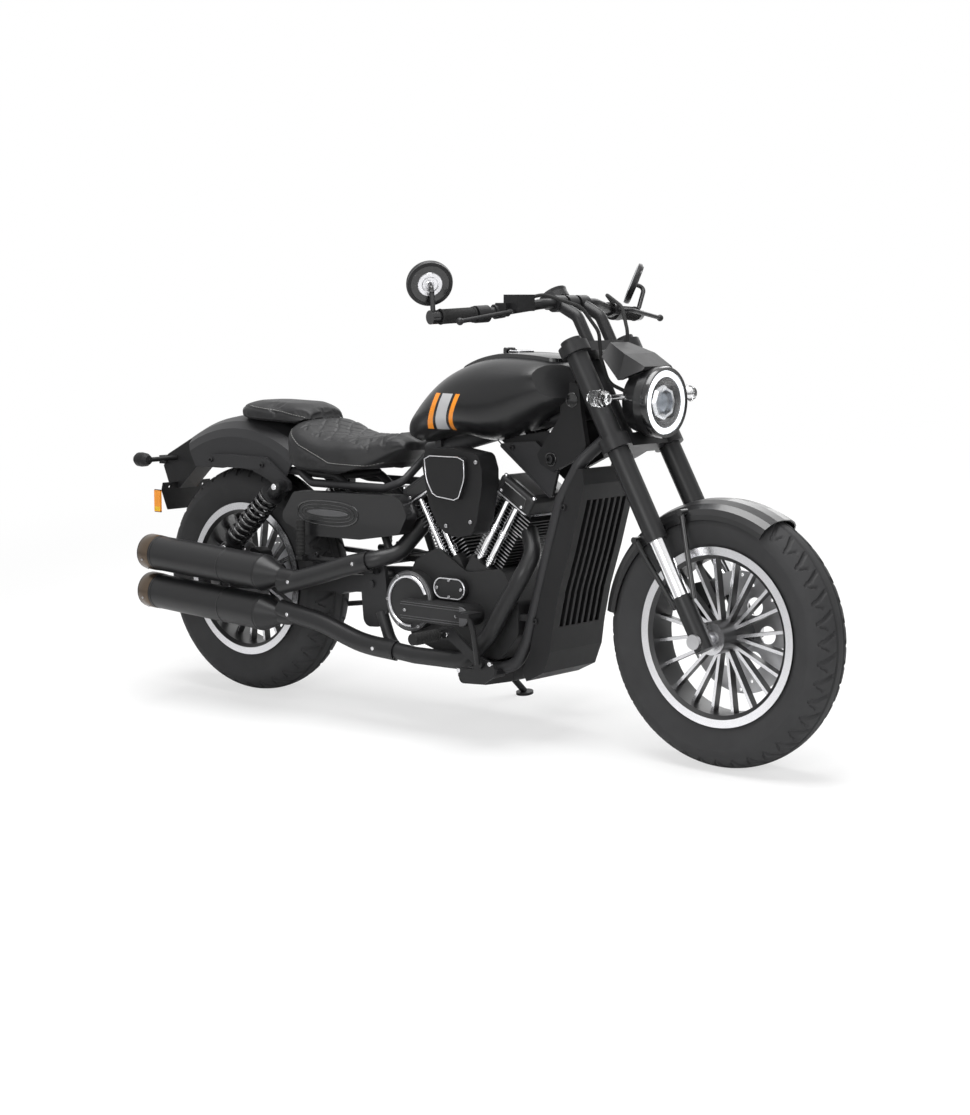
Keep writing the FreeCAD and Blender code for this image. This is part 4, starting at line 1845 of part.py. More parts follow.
def peg(place, side, radius, folded):
    """A peg on its clevis pin, pointing outwards, or upwards when folded."""
    middle = side_point(place, side)
    along = ALONG_Z if folded else ALONG_Y * side
    lug = rod(middle - ALONG_X * PEG_LUG_HALF, middle + ALONG_X * PEG_LUG_HALF, PEG_LUG_RADIUS)
    neck = rod(middle, middle + along * PEG_ROOT * 2, PEG_LUG_HALF)
    body = rod(middle + along * PEG_ROOT, middle + along * (PEG_ROOT + PEG_LENGTH), radius)
    pin = rod(middle - ALONG_X * PEG_LUG_HALF * 2, middle + ALONG_X * PEG_LUG_HALF * 2, PEG_PIN_RADIUS + FIT)
    return joined([lug, neck, body]).cut(pin)


def rider_peg(side):
    """One rider's peg, pointing outwards."""
    return peg(RIDER_PEG, side, PEG_RADIUS, False)


def passenger_peg(side):
    """One passenger's peg, folded up."""
    return peg(PASSENGER_PEG, side, PASSENGER_PEG_RADIUS, True)


def foot_controls():
    """Brackets for the rider's feet: brake pedal on the right, gear lever on the left."""
    pieces = []
    for side in SIDES:
        hanger = soft_plate(spread(BRACKET_REAR, BRACKET_FRONT, BRACKET_LOW, BRACKET_HIGH, BRACKET_SHARES),
                            -BRACKET_OUT, -BRACKET_IN, BRACKET_ROUND)
        unit = [hanger if side < 0 else mirrored(hanger)]
        for x in BRACKET_BAR_X:
            unit.append(rod(V(x, side * (CRADLE_REAR[1] - SEAT_DEPTH), BRACKET_BAR_Z),
                            V(x, side * (BRACKET_IN + SEAT_DEPTH), BRACKET_BAR_Z), BRACKET_BAR_RADIUS))
        unit += clevis(RIDER_PEG, side, BRACKET_IN + SEAT_DEPTH)
        pivot = side_point(PEDAL_PIVOT, side)
        pad = side_point(PEDAL_PAD, side)
        unit.append(rod(V(pivot.x, side * (BRACKET_IN + SEAT_DEPTH), pivot.z), pivot, PEDAL_RADIUS * 2))
        unit.append(pipe([pivot, side_point(PEDAL_KNEE, side), pad], PEDAL_RADIUS, PEDAL_RADIUS * 2))
        unit.append(box(pad.x - PEDAL_PAD_LENGTH / 2, pad.x + PEDAL_PAD_LENGTH / 2,
                        pad.y - PEDAL_PAD_WIDTH / 2, pad.y + PEDAL_PAD_WIDTH / 2,
                        pad.z - PEDAL_PAD_THICK / 2, pad.z + PEDAL_PAD_THICK / 2))
        pieces.append(joined(unit).cut(whole_frame()))
    return group(pieces)


HANGER_ROUTE = [(598.0, 148.0, 404.0), (480.0, 151.0, 418.0), (372.0, 151.0, 420.0)]
HANGER_RADIUS = 9.0


def passenger_hangers():
    """Bars from the pivot plates to the passenger's pegs."""
    pieces = []
    for side in SIDES:
        route = [side_point(place, side) for place in HANGER_ROUTE]
        root = route[0]
        unit = [pipe(route + [V(PASSENGER_PEG[0] - PEG_LUG_HALF - PEG_EAR, route[-1].y, PASSENGER_PEG[2])],
                     HANGER_RADIUS, FRAME_BEND),
                rod(root, V(root.x, side * (PIVOT_Y + PIVOT_PLATE_THICK / 2 + GAP), root.z), HANGER_RADIUS)]
        unit += clevis(PASSENGER_PEG, side, abs(route[-1].y))
        pieces.append(joined(unit))
    return group(pieces)


# Side stand

STAND_PIVOT = V(700.0, 148.0, 200.0)
STAND_FOOT_X = 768.0
STAND_FOOT_Y = 268.0
STAND_FOLDED = V(-0.972, 0.2, 0.12)
STAND_RADIUS = 9.0
STAND_HEAD_RADIUS = 15.0
STAND_HEAD_HALF = 9.0
STAND_PIN_RADIUS = 7.0
STAND_LUG_REACH = 34.0
STAND_PAD_RADIUS = 24.0
STAND_PAD_THICK = 7.0


def floor_height(y):
    """Height of the floor beside the leaned machine, seen in the upright machine's axes."""
    lean = math.radians(LEAN_DEG)
    lowest = min((FRONT_TYRE_RADIUS - reach) * math.cos(lean) - across * math.sin(lean)
                 for reach, across in tyre_crown(FRONT_TYRE_RADIUS, FRONT_TYRE_WIDTH, FRONT_RIM_HALF))
    return (lowest + y * math.sin(lean)) / math.cos(lean)


def stand_foot():
    """The middle of the stand's foot on the floor."""
    return V(STAND_FOOT_X, STAND_FOOT_Y, floor_height(STAND_FOOT_Y))


def stand_axis():
    """The hinge axis of the side stand, square to the leg both down and folded."""
    leg = stand_foot() - STAND_PIVOT
    axis = leg.cross(STAND_FOLDED)
    axis.normalize()
    return axis


def side_stand():
    """The side stand, down: hinge eye, leg and flat foot."""
    axis = stand_axis()
    foot = stand_foot()
    lean = math.radians(LEAN_DEG)
    floor_up = V(0, -math.sin(lean), math.cos(lean))
    pad = rod(foot, foot + floor_up * STAND_PAD_THICK, STAND_PAD_RADIUS)
    leg = rod(STAND_PIVOT, foot + floor_up * STAND_PAD_THICK, STAND_RADIUS)
    eye = rod(STAND_PIVOT - axis * STAND_HEAD_HALF, STAND_PIVOT + axis * STAND_HEAD_HALF, STAND_HEAD_RADIUS)
    pin = rod(STAND_PIVOT - axis * STAND_HEAD_HALF * 2, STAND_PIVOT + axis * STAND_HEAD_HALF * 2,
              STAND_PIN_RADIUS + FIT)
    return joined([pad, leg, eye]).cut(pin)


def stand_lug():
    """The frame's pin and shoulder for the side stand."""
    axis = stand_axis()
    shoulder = rod(STAND_PIVOT - axis * STAND_LUG_REACH, STAND_PIVOT - axis * (STAND_HEAD_HALF + GAP),
                   STAND_HEAD_RADIUS)
    pin = rod(STAND_PIVOT - axis * STAND_LUG_REACH, STAND_PIVOT + axis * (STAND_HEAD_HALF + STAND_PIN_RADIUS),
              STAND_PIN_RADIUS)
    return joined([shoulder, pin])


# All pieces by group

def upright():
    """Every piece by its name, with the machine standing upright."""
    parts = {}
    wheels(parts)
    fork(parts)
    front_end(parts)
    chassis(parts)
    engine(parts)
    bodywork(parts)
    controls(parts)
    return parts


def chassis(parts):
    """Frame, swingarm and what hangs between them."""
    parts["frame_backbone"] = backbone()
    parts["frame_cradle"] = frame_cradle()
    parts["frame_rails"] = frame_rails()
    parts["swingarm"] = swingarm()
    parts["rear_axle"] = rear_axle()
    parts["rear_shocks"] = rear_shocks()
    parts["shock_springs"] = shock_springs()
    parts["rear_caliper"] = rear_caliper()
    parts["drive_chain"] = drive_chain()


def engine(parts):
    """The V-twin with its covers, radiator and exhaust."""
    parts["crankcase"] = crankcase()
    parts["cylinders"] = cylinders()
    parts["pushrod_tubes"] = pushrod_tubes()
    parts["air_cleaner"] = air_cleaner()
    parts["engine_covers"] = engine_covers()
    parts["radiator"] = radiator()
    parts["radiator_shroud"] = radiator_shroud()
    parts["belly_pan"] = belly_pan()
    parts["silencers"] = silencers()
    parts["exhaust_pipes"] = exhaust_pipes()


def bodywork(parts):
    """Tank, seats, rear fender, panels and tail."""
    parts["fuel_tank"] = fuel_tank()
    parts["tank_trim"] = tank_trim()
    parts["fuel_cap"] = fuel_cap()
    parts["neck_covers"] = neck_covers()
    parts["rider_seat"] = rider_seat()
    parts["pillion_seat"] = pillion_seat()
    parts["rear_fender"] = rear_fender()
    parts["fender_struts"] = fender_struts()
    parts["side_covers"] = side_covers()
    parts["plate_bracket"] = plate_bracket()
    parts["rear_lamps"] = rear_lamps()
    parts["reflectors"] = reflectors()


def controls(parts):
    """Foot controls, foot pegs and the side stand."""
    parts["foot_controls"] = foot_controls()
    parts["passenger_hangers"] = passenger_hangers()
    for side, name in zip(SIDES, ("right", "left")):
        parts["rider_peg_" + name] = rider_peg(side)
        parts["passenger_peg_" + name] = passenger_peg(side)
    parts["side_stand"] = side_stand()


# The machine as it parks

def resting_place(parts):
    """Where the leaned machine's footprint has its middle, and its lowest point."""
    leaned = turned_about(group(list(parts.values())), V(0, 0, 0), ALONG_X, -LEAN_DEG)
    bounds = leaned.BoundBox
    return V(-bounds.Center.x, -bounds.Center.y, -bounds.ZMin)


def parked(parts):
    """Every piece leaned onto the side stand, over the origin."""
    shift = resting_place(parts)
    return {name: moved(turned_about(shape, V(0, 0, 0), ALONG_X, -LEAN_DEG), shift)
            for name, shape in parts.items()}


def main():
    """Write one file for each piece of the parked machine."""
    os.makedirs("parts", exist_ok=True)
    for name, shape in parked(upright()).items():
        shape.exportStep(os.path.join("parts", name + ".step"))


if __name__ == "__main__":
    main()
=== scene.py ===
"""Looks of the cruiser motorcycle: finishes, modelled pieces, studio and camera.

Pieces are modelled in the machine's own axes, in millimetres: X forward, Y to the rider's left,
Z up, zero on the ground under the rear axle, with the machine upright. Stance carries them to the
leaned machine that the frame holds, in metres.
"""
from __future__ import annotations

import json
import logging
import math
import random
from dataclasses import dataclass, field
from enum import Enum
from typing import Callable, Iterable, Sequence

import bpy
from mathutils import Matrix, Vector
from mathutils.bvhtree import BVHTree

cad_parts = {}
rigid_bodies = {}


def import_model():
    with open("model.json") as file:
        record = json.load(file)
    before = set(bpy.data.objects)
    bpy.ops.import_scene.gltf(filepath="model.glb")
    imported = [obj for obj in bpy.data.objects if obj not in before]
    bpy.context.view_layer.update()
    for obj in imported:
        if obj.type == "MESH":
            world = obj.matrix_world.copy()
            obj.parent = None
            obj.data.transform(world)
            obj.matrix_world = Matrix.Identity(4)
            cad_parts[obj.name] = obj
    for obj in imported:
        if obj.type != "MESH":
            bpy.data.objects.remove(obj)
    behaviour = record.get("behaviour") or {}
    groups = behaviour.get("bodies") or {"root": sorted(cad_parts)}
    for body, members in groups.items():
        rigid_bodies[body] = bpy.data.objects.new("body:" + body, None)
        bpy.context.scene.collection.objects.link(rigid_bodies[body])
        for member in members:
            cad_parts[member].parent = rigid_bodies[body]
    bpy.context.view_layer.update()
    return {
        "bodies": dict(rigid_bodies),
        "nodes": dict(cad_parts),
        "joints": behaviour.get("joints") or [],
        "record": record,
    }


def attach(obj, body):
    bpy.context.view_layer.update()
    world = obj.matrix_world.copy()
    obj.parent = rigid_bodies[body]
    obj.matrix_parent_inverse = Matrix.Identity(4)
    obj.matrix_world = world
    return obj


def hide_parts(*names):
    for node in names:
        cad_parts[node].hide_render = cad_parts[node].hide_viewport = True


log = logging.getLogger("cruiser")
Colour = tuple[float, float, float]
Pair = tuple[float, float]
Ring = list[Vector]
TAU = math.tau
MM = 0.001
X_AXIS, Y_AXIS, Z_AXIS = Vector((1, 0, 0)), Vector((0, 1, 0)), Vector((0, 0, 1))
RIGHTWARD = Vector((0, -1, 0))
SIDES = (-1, 1)


@dataclass(frozen=True)
class Stance:
    """How the upright machine in millimetres lies in the frame: its lean and its shift in metres."""

    lean_deg: float = 8.0
    shift: tuple[float, float, float] = (-0.7795, -0.162566, 0.000018)

    def turn(self) -> Matrix:
        """The lean as a 3x3 matrix."""
        return Matrix.Rotation(-math.radians(self.lean_deg), 3, "X")

    def matrix(self) -> Matrix:
        """From machine millimetres to the frame's metres."""
        return Matrix.Translation(Vector(self.shift)) @ self.turn().to_4x4() @ Matrix.Scale(MM, 4)


STANCE = Stance()


# Shader maths


class Value:
    """One number socket of a material, so that shader sums are written as Python sums."""

    def __init__(self, graph: Graph, socket: bpy.types.NodeSocket) -> None:
        """Keeps the graph and the output socket."""
        self.graph = graph
        self.socket = socket

    def joined(self, operation: str, other: Value | float, swap: bool = False) -> Value:
        """Adds one Math node.

        Args:
            operation: the node's operation.
            other: the other operand.
            swap: whether the other operand comes first.

        Returns:
            The node's output.
        """
        pair = (other, self) if swap else (self, other)
        node = self.graph.add("ShaderNodeMath", {"operation": operation}, {0: pair[0], 1: pair[1]})
        return Value(self.graph, node.outputs[0])

    def __add__(self, other: Value | float) -> Value:
        """Sum."""
        return self.joined("ADD", other)

    def __radd__(self, other: float) -> Value:
        """Sum with a number first."""
        return self.joined("ADD", other)

    def __sub__(self, other: Value | float) -> Value:
        """Difference."""
        return self.joined("SUBTRACT", other)

    def __rsub__(self, other: float) -> Value:
        """Difference with a number first."""
        return self.joined("SUBTRACT", other, swap=True)

    def __mul__(self, other: Value | float) -> Value:
        """Product."""
        return self.joined("MULTIPLY", other)

    def __rmul__(self, other: float) -> Value:
        """Product with a number first."""
        return self.joined("MULTIPLY", other)

    def __abs__(self) -> Value:
        """Size without sign."""
        return self.joined("ABSOLUTE", 0.0)

    def above(self, limit: Value | float) -> Value:
        """One where this is over the limit, else zero."""
        return self.joined("GREATER_THAN", limit)

    def below(self, limit: Value | float) -> Value:
        """One where this is under the limit, else zero."""
        return self.joined("LESS_THAN", limit)

    def step(self, low: float, high: float) -> Value:
        """A smooth rise from zero at low to one at high."""
        node = self.graph.add("ShaderNodeMapRange", {"interpolation_type": "SMOOTHSTEP"},
                              {"Value": self, "From Min": low, "From Max": high})
        return Value(self.graph, node.outputs["Result"])


class Graph:
    """The node tree of one material, with helpers that add its nodes."""

    def __init__(self, name: str) -> None:
        """Starts a material with its surface shader.

        Args:
            name: the material's name.
        """
        self.material = bpy.data.materials.new(name)
        self.material.use_nodes = True
        self.tree = self.material.node_tree
        self.surface = self.tree.nodes["Principled BSDF"]
        self.output = self.tree.nodes["Material Output"]

    def link(self, target: bpy.types.NodeSocket, source: object) -> None:
        """Feeds an input socket from a value, a socket or a plain number or colour."""
        if isinstance(source, Value):
            self.tree.links.new(source.socket, target)
        elif isinstance(source, bpy.types.NodeSocket):
            self.tree.links.new(source, target)
        elif target.type == "RGBA" and len(source) == 3:
            target.default_value = (*source, 1.0)
        else:
            target.default_value = source

    def add(self, kind: str, settings: dict | None = None, inputs: dict | None = None) -> bpy.types.Node:
        """Adds any node.

        Args:
            kind: the node's type.
            settings: its settings, with a ramp's stops under "stops".
            inputs: values or links by socket name or number.

        Returns:
            The node.
        """
        node = self.tree.nodes.new(kind)
        for key, value in (settings or {}).items():
            if key == "stops":
                ramp = node.color_ramp.elements
                while len(ramp) < len(value):
                    ramp.new(1.0)
                for stop, (place, colour) in zip(ramp, value):
                    stop.position = place
                    stop.color = (*colour, 1.0)
            else:
                setattr(node, key, value)
        for key, value in (inputs or {}).items():
            self.link(node.inputs[key], value)
        return node

    def place(self) -> bpy.types.NodeSocket:
        """The surface point on the piece, in the frame's metres."""
        return self.add("ShaderNodeTexCoord").outputs["Object"]

    def normal(self) -> list[Value]:
        """The surface's direction on the piece, along X, Y and Z."""
        source = self.add("ShaderNodeTexCoord").outputs["Normal"]
        return self.parts(source)

    def parts(self, vector: bpy.types.NodeSocket) -> list[Value]:
        """The three numbers of a vector socket."""
        split = self.add("ShaderNodeSeparateXYZ", None, {0: vector})
        return [Value(self, out) for out in split.outputs]

    def upright(self) -> bpy.types.NodeSocket:
        """The surface point in the upright machine's axes, in metres."""
        moved = self.add("ShaderNodeVectorMath", {"operation": "SUBTRACT"},
                         {0: self.place(), 1: STANCE.shift})
        turned = self.add("ShaderNodeVectorRotate", {"rotation_type": "X_AXIS"},
                          {"Vector": moved.outputs[0], "Angle": math.radians(STANCE.lean_deg)})
        return turned.outputs[0]

    def noise(self, scale: float, detail: float = 2.0, where: bpy.types.NodeSocket | None = None) -> Value:
        """A cloudy pattern from zero to one, with the given number of waves a metre."""
        node = self.add("ShaderNodeTexNoise", None,
                        {"Vector": where or self.place(), "Scale": scale, "Detail": detail})
        return Value(self, node.outputs[0])

    def cells(self, scale: float, feature: str = "F1") -> Value:
        """Distances in a pattern of cells, with the given number of cells a metre."""
        node = self.add("ShaderNodeTexVoronoi", {"feature": feature},
                        {"Vector": self.place(), "Scale": scale})
        return Value(self, node.outputs["Distance"])

    def blend(self, share: Value, first: object, second: object) -> bpy.types.NodeSocket:
        """A colour between two colours by a share from zero to one."""
        node = self.add("ShaderNodeMix", {"data_type": "RGBA"}, {"Factor": share, 6: first, 7: second})
        return node.outputs[2]


@dataclass(frozen=True)
class Finish:
    """A surface finish: its colour, gloss and the fine relief of its skin."""

    name: str
    colour: Colour
    rough: float = 0.5
    metallic: float = 0.0
    coat: float = 0.0
    specular: float = 0.5
    mottle: float = 0.12
    mottle_scale: float = 14.0
    rough_spread: float = 0.1
    grain: float = 0.00004
    grain_scale: float = 1400.0
    transmission: float = 0.0
    glow: float = 0.0
    sheen: float = 0.0

    def base(self, graph: Graph) -> object:
        """The colour over the surface, slightly uneven as paint and castings are."""
        dark = tuple(part * (1 - self.mottle) for part in self.colour)
        light = tuple(min(1.0, part * (1 + self.mottle)) for part in self.colour)
        return graph.blend(graph.noise(self.mottle_scale, 4.0), dark, light)

    def gloss(self, graph: Graph) -> Value:
        """The roughness over the surface."""
        return graph.noise(self.mottle_scale * 2.7, 3.0) * self.rough_spread + (
            self.rough - self.rough_spread / 2)

    def height(self, graph: Graph) -> Value:
        """The fine relief, from zero to one."""
        return graph.noise(self.grain_scale, 2.0)

    def metal(self, graph: Graph) -> object:
        """How metallic the surface is."""
        return self.metallic

    def build(self) -> bpy.types.Material:
        """Makes the material, or returns it if it is there.

        Returns:
            The Blender material.
        """
        if self.name in bpy.data.materials:
            return bpy.data.materials[self.name]
        graph = Graph(self.name)
        shader = graph.surface
        graph.link(shader.inputs["Base Color"], self.base(graph))
        graph.link(shader.inputs["Roughness"], self.gloss(graph))
        graph.link(shader.inputs["Metallic"], self.metal(graph))
        shader.inputs["Coat Weight"].default_value = self.coat
        shader.inputs["Specular IOR Level"].default_value = self.specular
        shader.inputs["Transmission Weight"].default_value = self.transmission
        shader.inputs["Sheen Weight"].default_value = self.sheen
        if self.glow:
            shader.inputs["Emission Color"].default_value = (*self.colour, 1.0)
            shader.inputs["Emission Strength"].default_value = self.glow
        bump = graph.add("ShaderNodeBump", None, {"Height": self.height(graph), "Distance": self.grain})
        graph.link(shader.inputs["Normal"], bump.outputs[0])
        return graph.material


@dataclass(frozen=True)
class Leather(Finish):
    """Pebbled seat cover with finely creased grain."""

    def height(self, graph: Graph) -> Value:
        """Pebbles with soft valleys and a few longer creases."""
        pebble = graph.cells(self.grain_scale, "SMOOTH_F1")
        return pebble * 0.7 + graph.noise(self.grain_scale / 6, 3.0) * 0.6


@dataclass(frozen=True)
class Brushed(Finish):
    """Turned or ground metal with fine scratches along one way."""

    def height(self, graph: Graph) -> Value:
        """Long fine scratches."""
        stretched = graph.add("ShaderNodeVectorMath", {"operation": "MULTIPLY"},
                              {0: graph.place(), 1: (1.0, 40.0, 40.0)})
        return graph.noise(self.grain_scale / 20, 3.0, stretched.outputs[0])


@dataclass(frozen=True)
class CastWheel(Finish):
    """Black wheel paint with the faces towards both sides machined bright near their edges."""

    bright: Colour = (0.72, 0.72, 0.74)

    def facing(self, graph: Graph) -> Value:
        """One on faces square to the axle."""
        _, across, _ = graph.parts(self.axle_normal(graph))
        return abs(across).step(0.9, 0.97)

    def axle_normal(self, graph: Graph) -> bpy.types.NodeSocket:
        """The surface direction in the upright machine's axes."""
        source = graph.add("ShaderNodeTexCoord").outputs["Normal"]
        turned = graph.add("ShaderNodeVectorRotate", {"rotation_type": "X_AXIS"},
                           {"Vector": source, "Angle": math.radians(STANCE.lean_deg)})
        return turned.outputs[0]

    def base(self, graph: Graph) -> object:
        """Black, and bright where it is machined."""
        return graph.blend(self.facing(graph), self.colour, self.bright)

    def metal(self, graph: Graph) -> object:
        """Metal shows only where it is machined."""
        return self.facing(graph) * 0.9

    def gloss(self, graph: Graph) -> Value:
        """Machined faces are smoother."""
        return self.rough - self.facing(graph) * 0.14


@dataclass(frozen=True)
class StripedPaint(Finish):
    """Tank paint with three slanted stripes in orange and silver on the rear of each side."""

    orange: Colour = (0.83, 0.27, 0.02)
    silver: Colour = (0.45, 0.45, 0.46)
    stripes: tuple[tuple[float, float, str], ...] = ((0.755, 0.775, "orange"), (0.785, 0.825, "silver"),
                                                     (0.835, 0.85, "orange"))
    slant: float = 0.55
    low: float = 0.785
    high: float = 0.88

    def base(self, graph: Graph) -> object:
        """Paint with the stripes over it."""
        along, _, up = graph.parts(graph.upright())
        slanted = along - (up - self.low) * self.slant
        band = up.above(self.low) * up.below(self.high)
        colour = super().base(graph)
        for start, end, name in self.stripes:
            inside = slanted.above(start) * slanted.below(end) * band
            colour = graph.blend(inside, colour, getattr(self, name))
        return colour


PAINT = Finish("satin_black_paint", (0.0085, 0.0085, 0.009), 0.32, coat=0.2, specular=0.4, rough_spread=0.06)
TANK_PAINT = StripedPaint("tank_paint", (0.0072, 0.0072, 0.0078), 0.33, coat=0.12, specular=0.3,
                          rough_spread=0.06)
GLOSS_PLASTIC = Finish("gloss_black_trim", (0.006, 0.006, 0.0066), 0.2, coat=0.3, rough_spread=0.06)
PLASTIC = Finish("grained_black_plastic", (0.01, 0.01, 0.0105), 0.5, specular=0.2, grain=0.0001,
                 grain_scale=1100.0)
FENDER_PAINT = Finish("fender_grey_black", (0.018, 0.018, 0.0192), 0.46, specular=0.3, rough_spread=0.06)
RUBBER = Finish("grip_rubber", (0.0108, 0.0108, 0.0108), 0.75, specular=0.25)
TYRE_RUBBER = Finish("tyre_rubber", (0.03, 0.03, 0.031), 0.72, specular=0.22, mottle=0.25,
                     grain=0.00012, grain_scale=700.0)
STEEL_BLACK = Finish("black_steel", (0.0102, 0.0102, 0.0108), 0.42, specular=0.25)
FRAME_PAINT = Finish("frame_dark_grey", (0.021, 0.021, 0.0222), 0.45, specular=0.25)
CAST_BLACK = Finish("engine_black_casting", (0.015, 0.015, 0.0156), 0.5, specular=0.3, grain=0.00016,
                    grain_scale=900.0)
CAST_GREY = Finish("engine_grey_casting", (0.09, 0.09, 0.093), 0.45, 0.5, grain=0.00014, grain_scale=900.0)
CHROME = Finish("chrome", (0.78, 0.78, 0.8), 0.08, 1.0, rough_spread=0.05, mottle=0.03)
ALUMINIUM = Brushed("machined_aluminium", (0.62, 0.62, 0.64), 0.28, 1.0, mottle=0.05)
STEEL = Brushed("ground_steel", (0.45, 0.45, 0.46), 0.3, 1.0, mottle=0.1)
SILENCER = Finish("silencer_matt_black", (0.0096, 0.0096, 0.0102), 0.4, specular=0.3, rough_spread=0.08)
LEATHER = Leather("seat_leather", (0.0132, 0.0132, 0.0138), 0.5, specular=0.25, grain=0.00025,
                  grain_scale=620.0)
WHEEL = CastWheel("cast_wheel", (0.0072, 0.0072, 0.0078), 0.36)
CORE = Finish("radiator_core", (0.012, 0.012, 0.0126), 0.6)
CLEAR = Finish("clear_lens", (0.95, 0.96, 0.97), 0.05, transmission=1.0, mottle=0.02)
RED = Finish("red_lens", (0.5, 0.015, 0.01), 0.12, transmission=0.3)
AMBER = Finish("amber_lens", (0.85, 0.25, 0.01), 0.14, transmission=0.2)
FIN_EDGE = Brushed("machined_fin_edges", (0.4, 0.4, 0.41), 0.35, 1.0, mottle=0.1)
BRONZE = Finish("bronze_end_cap", (0.1, 0.075, 0.055), 0.32, 0.85, rough_spread=0.08)
DAYLIGHT = Finish("daytime_light", (0.9, 0.93, 0.96), 0.3, glow=1.2)
LENS_EYE = Finish("projector_lens", (0.25, 0.28, 0.32), 0.05, 0.3, coat=0.5)
MIRROR = Finish("mirror_glass", (0.8, 0.82, 0.84), 0.03, 1.0, mottle=0.02)
YELLOW = Finish("yellow_reflector", (0.85, 0.5, 0.02), 0.2)
THREAD = Finish("stitching_thread", (0.3, 0.3, 0.29), 0.7)

CAD_FINISHES: dict[str, Finish] = {
    "front_tyre": TYRE_RUBBER, "rear_tyre": TYRE_RUBBER, "front_rim": WHEEL, "rear_rim": WHEEL,
    "front_disc": STEEL, "rear_disc_and_sprocket": STEEL, "fork_tubes": STEEL_BLACK,
    "fork_stanchions": CHROME, "fork_yokes": STEEL_BLACK, "front_axle": STEEL, "front_fender": PAINT,
    "headlamp_shell": PAINT, "headlamp_lens": CLEAR, "headlamp_cowl": PLASTIC,
    "front_indicators": CLEAR, "handlebar": STEEL_BLACK, "grips": RUBBER, "mirrors": GLOSS_PLASTIC,
    "hand_controls": STEEL_BLACK, "front_caliper": STEEL_BLACK, "fuel_cap": STEEL_BLACK,
    "rider_peg_right": RUBBER, "rider_peg_left": RUBBER, "passenger_peg_right": RUBBER,
    "passenger_peg_left": RUBBER, "side_stand": STEEL_BLACK, "frame_backbone": FRAME_PAINT,
    "frame_cradle": FRAME_PAINT, "frame_rails": FRAME_PAINT,
    "swingarm": FRAME_PAINT, "rear_axle": STEEL, "rear_shocks": STEEL_BLACK, "shock_springs": GLOSS_PLASTIC,
    "rear_caliper": STEEL_BLACK, "drive_chain": STEEL, "crankcase": CAST_BLACK, "cylinders": CAST_BLACK,
    "pushrod_tubes": CHROME, "air_cleaner": PLASTIC, "engine_covers": CAST_BLACK, "radiator": CORE,
    "radiator_shroud": PLASTIC, "belly_pan": PLASTIC, "silencers": SILENCER, "exhaust_pipes": SILENCER,
    "fuel_tank": TANK_PAINT, "tank_trim": GLOSS_PLASTIC, "neck_covers": PLASTIC, "rider_seat": LEATHER,
    "pillion_seat": LEATHER, "rear_fender": FENDER_PAINT, "fender_struts": FRAME_PAINT,
    "side_covers": PAINT, "plate_bracket": PLASTIC, "rear_lamps": PLASTIC, "reflectors": AMBER,
    "foot_controls": STEEL_BLACK, "passenger_hangers": STEEL_BLACK, "front_cables": RUBBER,
}


# Mesh building


